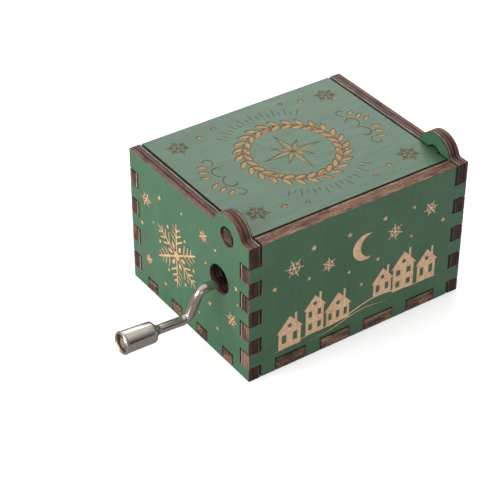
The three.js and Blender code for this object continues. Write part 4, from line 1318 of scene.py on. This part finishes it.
def cylinder():
    """The pinned sleeve, the arbor that it turns on and the hub in its rear end."""
    bore, soft, wide = SLEEVE_RADIUS - SLEEVE_WALL, 0.08, SLEEVE_RADIUS
    length = SLEEVE_BACK - SLEEVE_FRONT
    sleeve = on_cylinder("sleeve_tube", [
        (bore, 0), (wide - soft, 0), (wide, soft), (wide, length - soft), (wide - soft, length),
        (bore, length), (bore, 0)], SLEEVE_FRONT, brass, 128)
    points, directions = [], []
    for note in range(NOTES):
        for beat in range(PINS_PER_NOTE):
            steps = note * PIN_NOTE_STEP + beat * PIN_BEAT_STEP + note * beat % PIN_SHUFFLE
            angle = math.tau * (steps % PIN_STATIONS) / PIN_STATIONS
            y = FIRST_NOTE + (note + 0.5) * NOTE_PITCH
            points.append(around(SLEEVE_RADIUS - PIN_ROOT, angle, y))
            directions.append(Vector((math.sin(angle), 0, math.cos(angle))))
    values = {"Height": PIN_HEIGHT * MM, "Material": comb_steel}
    pins = set_out("sleeve_pins", points, pin_group(), values, directions)
    dressed(joined("pinned_sleeve", [settle(sleeve), pins]), "cylinder", "brass", "cylinder_sleeve")

    low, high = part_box("cylinder_arbor")
    span = (high.y - low.y) / MM
    arbor = on_cylinder("arbor", [
        (0, 0), (0.8, 0), (1.0, 0.2), (1.0, span - 0.2), (0.8, span), (0, span)],
        low.y / MM, turned_nickel, 48)
    dressed(settle(arbor), "cylinder", "nickel", "cylinder_arbor")

    plug, flange, boss, neck = bore - 0.15, 0.6, 0.6, 2.2
    face, end = HUB_PLUG_DEPTH + flange, HUB_PLUG_DEPTH + flange + boss
    hub = on_cylinder("hub", [
        (HUB_BORE, 0), (plug - soft, 0), (plug, soft), (plug, HUB_PLUG_DEPTH),
        (wide - soft, HUB_PLUG_DEPTH), (wide, HUB_PLUG_DEPTH + soft), (wide, face - soft),
        (wide - soft, face), (wide * 0.8, face), (wide * 0.78, face - soft),
        (neck * 1.5, face - soft), (neck * 1.35, face), (neck, face), (neck, end - soft),
        (neck - soft, end), (HUB_BORE, end), (HUB_BORE, 0)],
        SLEEVE_BACK - HUB_PLUG_DEPTH, brass)
    dressed(settle(hub), "cylinder", "brass", "rear_hub")


def tooth_half(radius):
    """Half the width of a wheel's tooth: the flanks lean 20 degrees, with a little play."""
    return math.pi * TOOTH_MODULE / 4 - TOOTH_PLAY - (radius - WHEEL_PITCH_RADIUS) * FLANK_SLOPE


def toothed_rim():
    """The wheel's slanted teeth, eased at both faces."""
    slices, soft = 12, 0.07
    slant = TOOTH_MODULE / (WORM_PITCH_RADIUS * 2) / WHEEL_PITCH_RADIUS
    radii = [TOOTH_ROOT, TOOTH_ROOT + soft, WHEEL_PITCH_RADIUS, TOOTH_TIP - soft, TOOTH_TIP]
    flank = [(r, tooth_half(r)) for r in radii]
    flank[0] = (TOOTH_ROOT, flank[0][1] + 0.04)
    flank[-1] = (TOOTH_TIP, flank[-1][1] - soft * 0.8)
    outline = []
    for tooth in range(WHEEL_TEETH):
        middle = -(tooth + 0.5) / WHEEL_TEETH * math.tau
        outline += [(r, middle + half / r) for r, half in flank]
        outline += [(r, middle - half / r) for r, half in reversed(flank)]
    half_width, middle_y = (WHEEL_BACK - WHEEL_FRONT) / 2, (WHEEL_BACK + WHEEL_FRONT) / 2
    verts, rows = [], []
    for step in range(slices + 1):
        y = -half_width + 2 * half_width * step / slices
        shrink = soft if step in (0, slices) else 0
        rows.append(list(range(len(verts), len(verts) + len(outline))))
        verts += [around(radius - shrink, angle + y * slant, middle_y + y)
                  for radius, angle in outline]
    rim = built("toothed_rim", verts, belts(rows) + [rows[0], rows[-1][::-1]], nylon)
    face_out(rim)
    return settle(rim, math.radians(28))


def worm_wheel():
    """The moulded wheel. Its hub plugs the sleeve's front end."""
    rim = toothed_rim()
    start, plug, neck = -15.7, SLEEVE_RADIUS - 1.05, 4.8
    seat = SLEEVE_FRONT - start
    hub = on_cylinder("hub", [
        (HUB_BORE, 0), (2.1, 0), (2.2, 0.1), (2.2, 0.67), (neck, 0.77), (neck, seat - 0.02),
        (plug, seat), (plug, seat + HUB_PLUG_DEPTH - 0.1), (plug - 0.1, seat + HUB_PLUG_DEPTH),
        (HUB_BORE, seat + HUB_PLUG_DEPTH), (HUB_BORE, 0)], start, nylon)
    dressed(joined("helical_wheel", [rim, settle(hub)]), "cylinder", "nylon", "worm_wheel")


def worm_thread():
    """A right-hand thread whose rows follow the helix. It fades into the core at both ends."""
    pitch = math.pi * TOOTH_MODULE
    half_tip = pitch / 4 - TOOTH_PLAY - TOOTH_MODULE * FLANK_SLOPE
    half_root = pitch / 4 - TOOTH_PLAY + (WORM_PITCH_RADIUS - WORM_ROOT) * FLANK_SLOPE
    sides, turns, soft, fade = 96, 7, 0.06, 1.6
    flank = [(half_root, WORM_ROOT), (half_tip + soft * 0.4, WORM_TIP - soft),
             (half_tip - soft * 0.6, WORM_TIP)]
    section = [(-offset, radius) for offset, radius in flank] + flank[::-1]
    rows = [((turn - turns / 2 + 0.25) * pitch + offset, radius)
            for turn in range(turns + 1) for offset, radius in section]
    centre = on_shaft(CYLINDER_AXIS.x)
    verts, faces, index = [], [], {}

    def corner(row, step):
        offset, radius = rows[row]
        along_shaft = offset + pitch * step / sides
        room = WORM_HALF_LENGTH - abs(along_shaft)
        radius = max(min(radius, WORM_ROOT + room * fade), WORM_ROOT)
        along_shaft = max(-WORM_HALF_LENGTH, min(WORM_HALF_LENGTH, along_shaft))
        angle = math.tau * step / sides
        key = (round(along_shaft, 4), round(radius, 4), step % sides)
        if key not in index:
            index[key] = len(verts)
            verts.append(centre + Vector((
                along_shaft, math.cos(angle) * radius, math.sin(angle) * radius)) * MM)
        return index[key]

    for row in range(len(rows) - 1):
        for step in range(sides):
            corners = trimmed([corner(row, step), corner(row, step + 1), corner(row + 1, step + 1),
                               corner(row + 1, step)])
            if len(corners) > 2:
                faces.append(corners)
    thread = built("thread", verts, faces, nickel)
    face_out(thread, SOLID_MERGE_DISTANCE, capped=True)
    return settle(thread, math.radians(35))


def worm_shaft():
    """The shaft: bored for the crank at one end, and grooved for its clip near the other."""
    low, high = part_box("worm_shaft")
    journal, shoulder, soft, neck = 1.5, 2.1, 0.12, 1.15
    span, middle = (high.x - low.x) / MM, (CYLINDER_AXIS.x - low.x) / MM
    left, right = middle - 7.0, middle + 7.0
    groove = (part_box("shaft_clip")[0].x - low.x) / MM - 0.1
    groove_end = groove + 0.6
    bore, bore_depth = 1.05, 4.65
    core = turned("core", [
        (0, bore_depth), (bore, bore_depth), (bore, 0.1), (bore + 0.1, 0), (journal - soft, 0),
        (journal, soft), (journal, left), (shoulder - soft, left), (shoulder, left + soft),
        (shoulder, left + 3.2), (WORM_ROOT, left + 3.5), (WORM_ROOT, right - 3.5),
        (shoulder, right - 3.2), (shoulder, right - soft), (shoulder - soft, right),
        (journal, right), (journal, groove), (neck, groove), (neck, groove_end),
        (journal, groove_end), (journal, span - soft), (journal - soft, span), (0, span)],
        on_shaft(low.x), X_AXIS, turned_nickel, 72)
    shaft = joined("shaft_with_worm", [settle(core), worm_thread()])
    dressed(shaft, "crank", "nickel", "worm_shaft")


def movement():
    """The turned parts, and the castings with their edges broken."""
    cylinder()
    worm_wheel()
    worm_shaft()
    castings = [("bedplate", 0.25, zinc, "zinc"), ("worm_bracket", 0.2, zinc, "zinc"),
                ("rear_bracket", 0.2, zinc, "zinc"), ("comb", 0.05, comb_steel, "comb_steel"),
                ("shaft_clip", 0.06, nickel, "nickel")]
    castings += [(f"bass_weight_{i}", 0.14, lead, "lead") for i in range(1, 7)]
    for name, width, finish, slot in castings:
        piece = refined(name, f"{name}_piece", width * MM, finish)
        dressed(piece, "crank" if name == "shaft_clip" else "case", slot, name)


movement()


# Crank and knob
def crank_turned(point):
    return Matrix.Rotation(CRANK_REST_ANGLE, 3, "X") @ point


def crank_line():
    """The rod's centre line, straight runs joined by round bends, and its last direction."""
    outward = -X_AXIS
    to_knob = Matrix.Rotation(KNOB_TILT, 3, "Y") @ outward
    arm = (CRANK_ELBOW - CRANK_BEND).normalized()
    points = [Vector((SHAFT_START, 0, 0))]
    for corner, before, after in ((CRANK_BEND, outward, arm), (CRANK_ELBOW, arm, to_knob)):
        bend = before.angle(after)
        trim = CRANK_BEND_RADIUS * math.tan(bend / 2)
        first, last = corner - before * trim, corner + after * trim
        inner = first + (after - before * before.dot(after)).normalized() * CRANK_BEND_RADIUS
        arm_first, arm_last = first - inner, last - inner
        for i in range(CRANK_BEND_STEPS + 1):
            share = i / CRANK_BEND_STEPS
            sweep = arm_first * math.sin((1 - share) * bend) + arm_last * math.sin(share * bend)
            points.append(inner + sweep / math.sin(bend))
    points.append(CRANK_ELBOW + to_knob * ROD_BEYOND_ELBOW)
    return points, to_knob


def tube(name, points, radius, finish, sides=40):
    """A closed round tube along points."""
    verts, rows, chart = [], [], []
    side = None
    last = len(points) - 1
    length = 0
    for i, point in enumerate(points):
        run = (points[min(i + 1, last)] - points[max(i - 1, 0)]).normalized()
        length += (point - points[max(i - 1, 0)]).length
        side = (run.orthogonal() if side is None else side - run * side.dot(run)).normalized()
        other = run.cross(side)
        rows.append(list(range(len(verts), len(verts) + sides)))
        for k in range(sides):
            angle = math.tau * k / sides
            verts.append(point + (side * math.cos(angle) + other * math.sin(angle)) * radius)
            chart.append((length, math.cos(angle) * radius, math.sin(angle) * radius))
    made = built(name, verts, belts(rows) + [rows[0][::-1], rows[-1]], finish)
    store(made.data, "turning", chart)
    face_out(made)
    return settle(made)


def knob_section():
    """The knob's section, measured from its axis and from the elbow: sleeve, shoulder and lip."""
    bore, recess, floor, near, far = 1.4, 2.25, 17.7, 10.1, 18.9
    shoulder = [(radius, near + rise) for radius, rise in (
        (2.3, 0), (2.45, 0.05), (2.57, 0.16), (2.64, 0.32), (2.68, 0.55), (2.7, 0.9))]
    waist = [(2.84, far - 0.82), (2.83, far - 0.74), (2.86, far - 0.68)]
    middle, half = (recess + 2.96) / 2, (2.96 - recess) / 2
    lip = []
    for turn in map(math.radians, range(-40, 181, 11)):
        lift = 0.48 if turn > 0 else 0.2
        lip.append((middle + half * math.cos(turn), far - 0.48 + lift * math.sin(turn)))
    return ([(bore, floor), (recess - 0.08, floor), (recess, floor + 0.08)] + lip[::-1]
            + waist[::-1] + shoulder[::-1]
            + [(bore + 0.1, near), (bore, near + 0.1), (bore, floor)])


def crank():
    """The bent rod with its neck and peened end, the washer and the knob that spins on it."""
    points, to_knob = crank_line()
    axis = crank_turned(to_knob)
    elbow = crank_turned(CRANK_ELBOW) + SHAFT_AXIS

    def by_knob(name, section, finish, sides, smooth=SMOOTH_ANGLE):
        return settle(turned(name, section, elbow, axis, finish, sides), smooth)

    placed = [crank_turned(point) + SHAFT_AXIS for point in points]
    rod = tube("rod", placed, ROD_RADIUS, drawn_nickel)
    tip = turned("tip", [(0, -1.0), (0.9, -1.0), (0.9, 4.3), (0.7, 4.5), (0, 4.5)],
                 on_shaft(SHAFT_START), X_AXIS, turned_nickel, 40)
    neck = by_knob("neck", [
        (0, 8.3), (1.19, 8.3), (1.22, 8.55), (1.28, 8.8), (1.37, 9.05), (1.49, 9.3), (1.63, 9.52),
        (1.78, 9.7), (1.93, 9.84), (2.02, 9.93), (2.03, 9.99), (1.98, 10.02), (0, 10.02)],
        drawn_nickel, 72)
    peen = by_knob("peen", [
        (0, 16.8), (0.9, 16.8), (0.9, 18.05), (1.22, 18.05), (1.36, 18.1), (1.4, 18.2),
        (1.34, 18.32), (1.12, 18.44), (0.8, 18.5), (0.5, 18.47), (0.3, 18.38), (0, 18.34)],
        peened_brass, 64, math.radians(50))
    dressed(joined("bent_crank", [rod, settle(tip), neck, peen]), "crank", "nickel", "crank_rod")
    washer = by_knob("end_washer", [
        (1.05, 17.6), (1.9, 17.6), (1.95, 17.66), (1.95, 17.94), (1.9, 18.0), (1.05, 18.0),
        (1.05, 17.6)], dull_brass, 64)
    dressed(washer, "crank", "brass", "knob_washer")
    knob = by_knob("turned_knob", knob_section(), satin_nickel, 128, math.radians(20))
    dressed(knob, "knob", "nickel", "crank_knob")


crank()

# Lights and floor
FLOOR_SPAN = 3.0
FLOOR_DROP = 0.03 * MM
FLOOR_GLOW = 0.36


def area_light(name, place, target_height, size, power):
    """A round lamp that looks at a point over the middle of the floor."""
    lamp = bpy.data.lights.new(name, "AREA")
    lamp.shape = "DISK"
    lamp.size = size
    lamp.energy = power
    made = link_object(bpy.data.objects.new(name, lamp))
    made.location = place
    aim = Vector((0, 0, target_height)) - Vector(place)
    made.rotation_euler = aim.to_track_quat("-Z", "Y").to_euler()


area_light("key_softbox", (-0.95, -0.02, 0.2), 0.02, 0.8, 12.0)
area_light("back_softbox", (0.225, 0.325, 0.28), 0.03, 0.34, 0.75)
area_light("low_fill_left", (-0.5, -0.85, 0.12), 0.02, 0.5, 1.0)
area_light("low_fill_right", (0.62, -0.62, 0.06), 0.02, 0.4, 0.4)


def set_world():
    """A grey room, brighter upwards. Behind the box the light starts lower than in front of it."""
    world = bpy.data.worlds.new("studio")
    bpy.context.scene.world = world
    world.use_nodes = True
    t = Tree(world.node_tree)
    sky = next(n for n in world.node_tree.nodes if n.type == "BACKGROUND")
    direction = t.get("Generated", "ShaderNodeTexCoord")
    parts = t.values(t.add("ShaderNodeSeparateXYZ", {"Vector": direction}))
    lowest = t.ranged(parts["Y"], -0.6, 0.3, 0.24, 0.0)
    highest = t.ranged(parts["Y"], -0.6, 0.3, 1.1, 0.55)
    sky.inputs["Color"].default_value = (1, 1, 1, 1)
    t.feed(sky.inputs["Strength"], t.ranged(parts["Z"], lowest, highest, 0.04, 1.05))


set_world()


def floor_material():
    """A pale floor that glows a little, and shows darker in mirrored reflections."""
    made, t, shader = new_material("pale_floor", (0.9, 0.9, 0.9))
    in_gloss = t.add("ShaderNodeBsdfPrincipled")
    for surface, colour in ((shader, (0.9, 0.9, 0.9, 1)), (in_gloss, (0.4, 0.38, 0.37, 1))):
        surface.inputs["Base Color"].default_value = colour
        surface.inputs["Roughness"].default_value = 0.9
        surface.inputs["Specular IOR Level"].default_value = 0.2
    shader.inputs["Emission Color"].default_value = (1, 1, 1, 1)
    shader.inputs["Emission Strength"].default_value = FLOOR_GLOW
    mirrored = t.get("Is Glossy Ray", "ShaderNodeLightPath")
    blend = t.get(0, "ShaderNodeMixShader", {
        0: mirrored, 1: Value(t, shader.outputs[0]), 2: Value(t, in_gloss.outputs[0])})
    leave = next(n for n in made.node_tree.nodes if n.type == "OUTPUT_MATERIAL")
    t.feed(leave.inputs["Surface"], blend)
    return made


def add_floor():
    corners = [(*spot, -FLOOR_DROP) for spot in box_ring(Vector((0, 0)), FLOOR_SPAN, FLOOR_SPAN)]
    built("floor", corners, [(0, 1, 2, 3)], floor_material())


add_floor()
bpy.context.scene.view_settings.view_transform = "Standard"
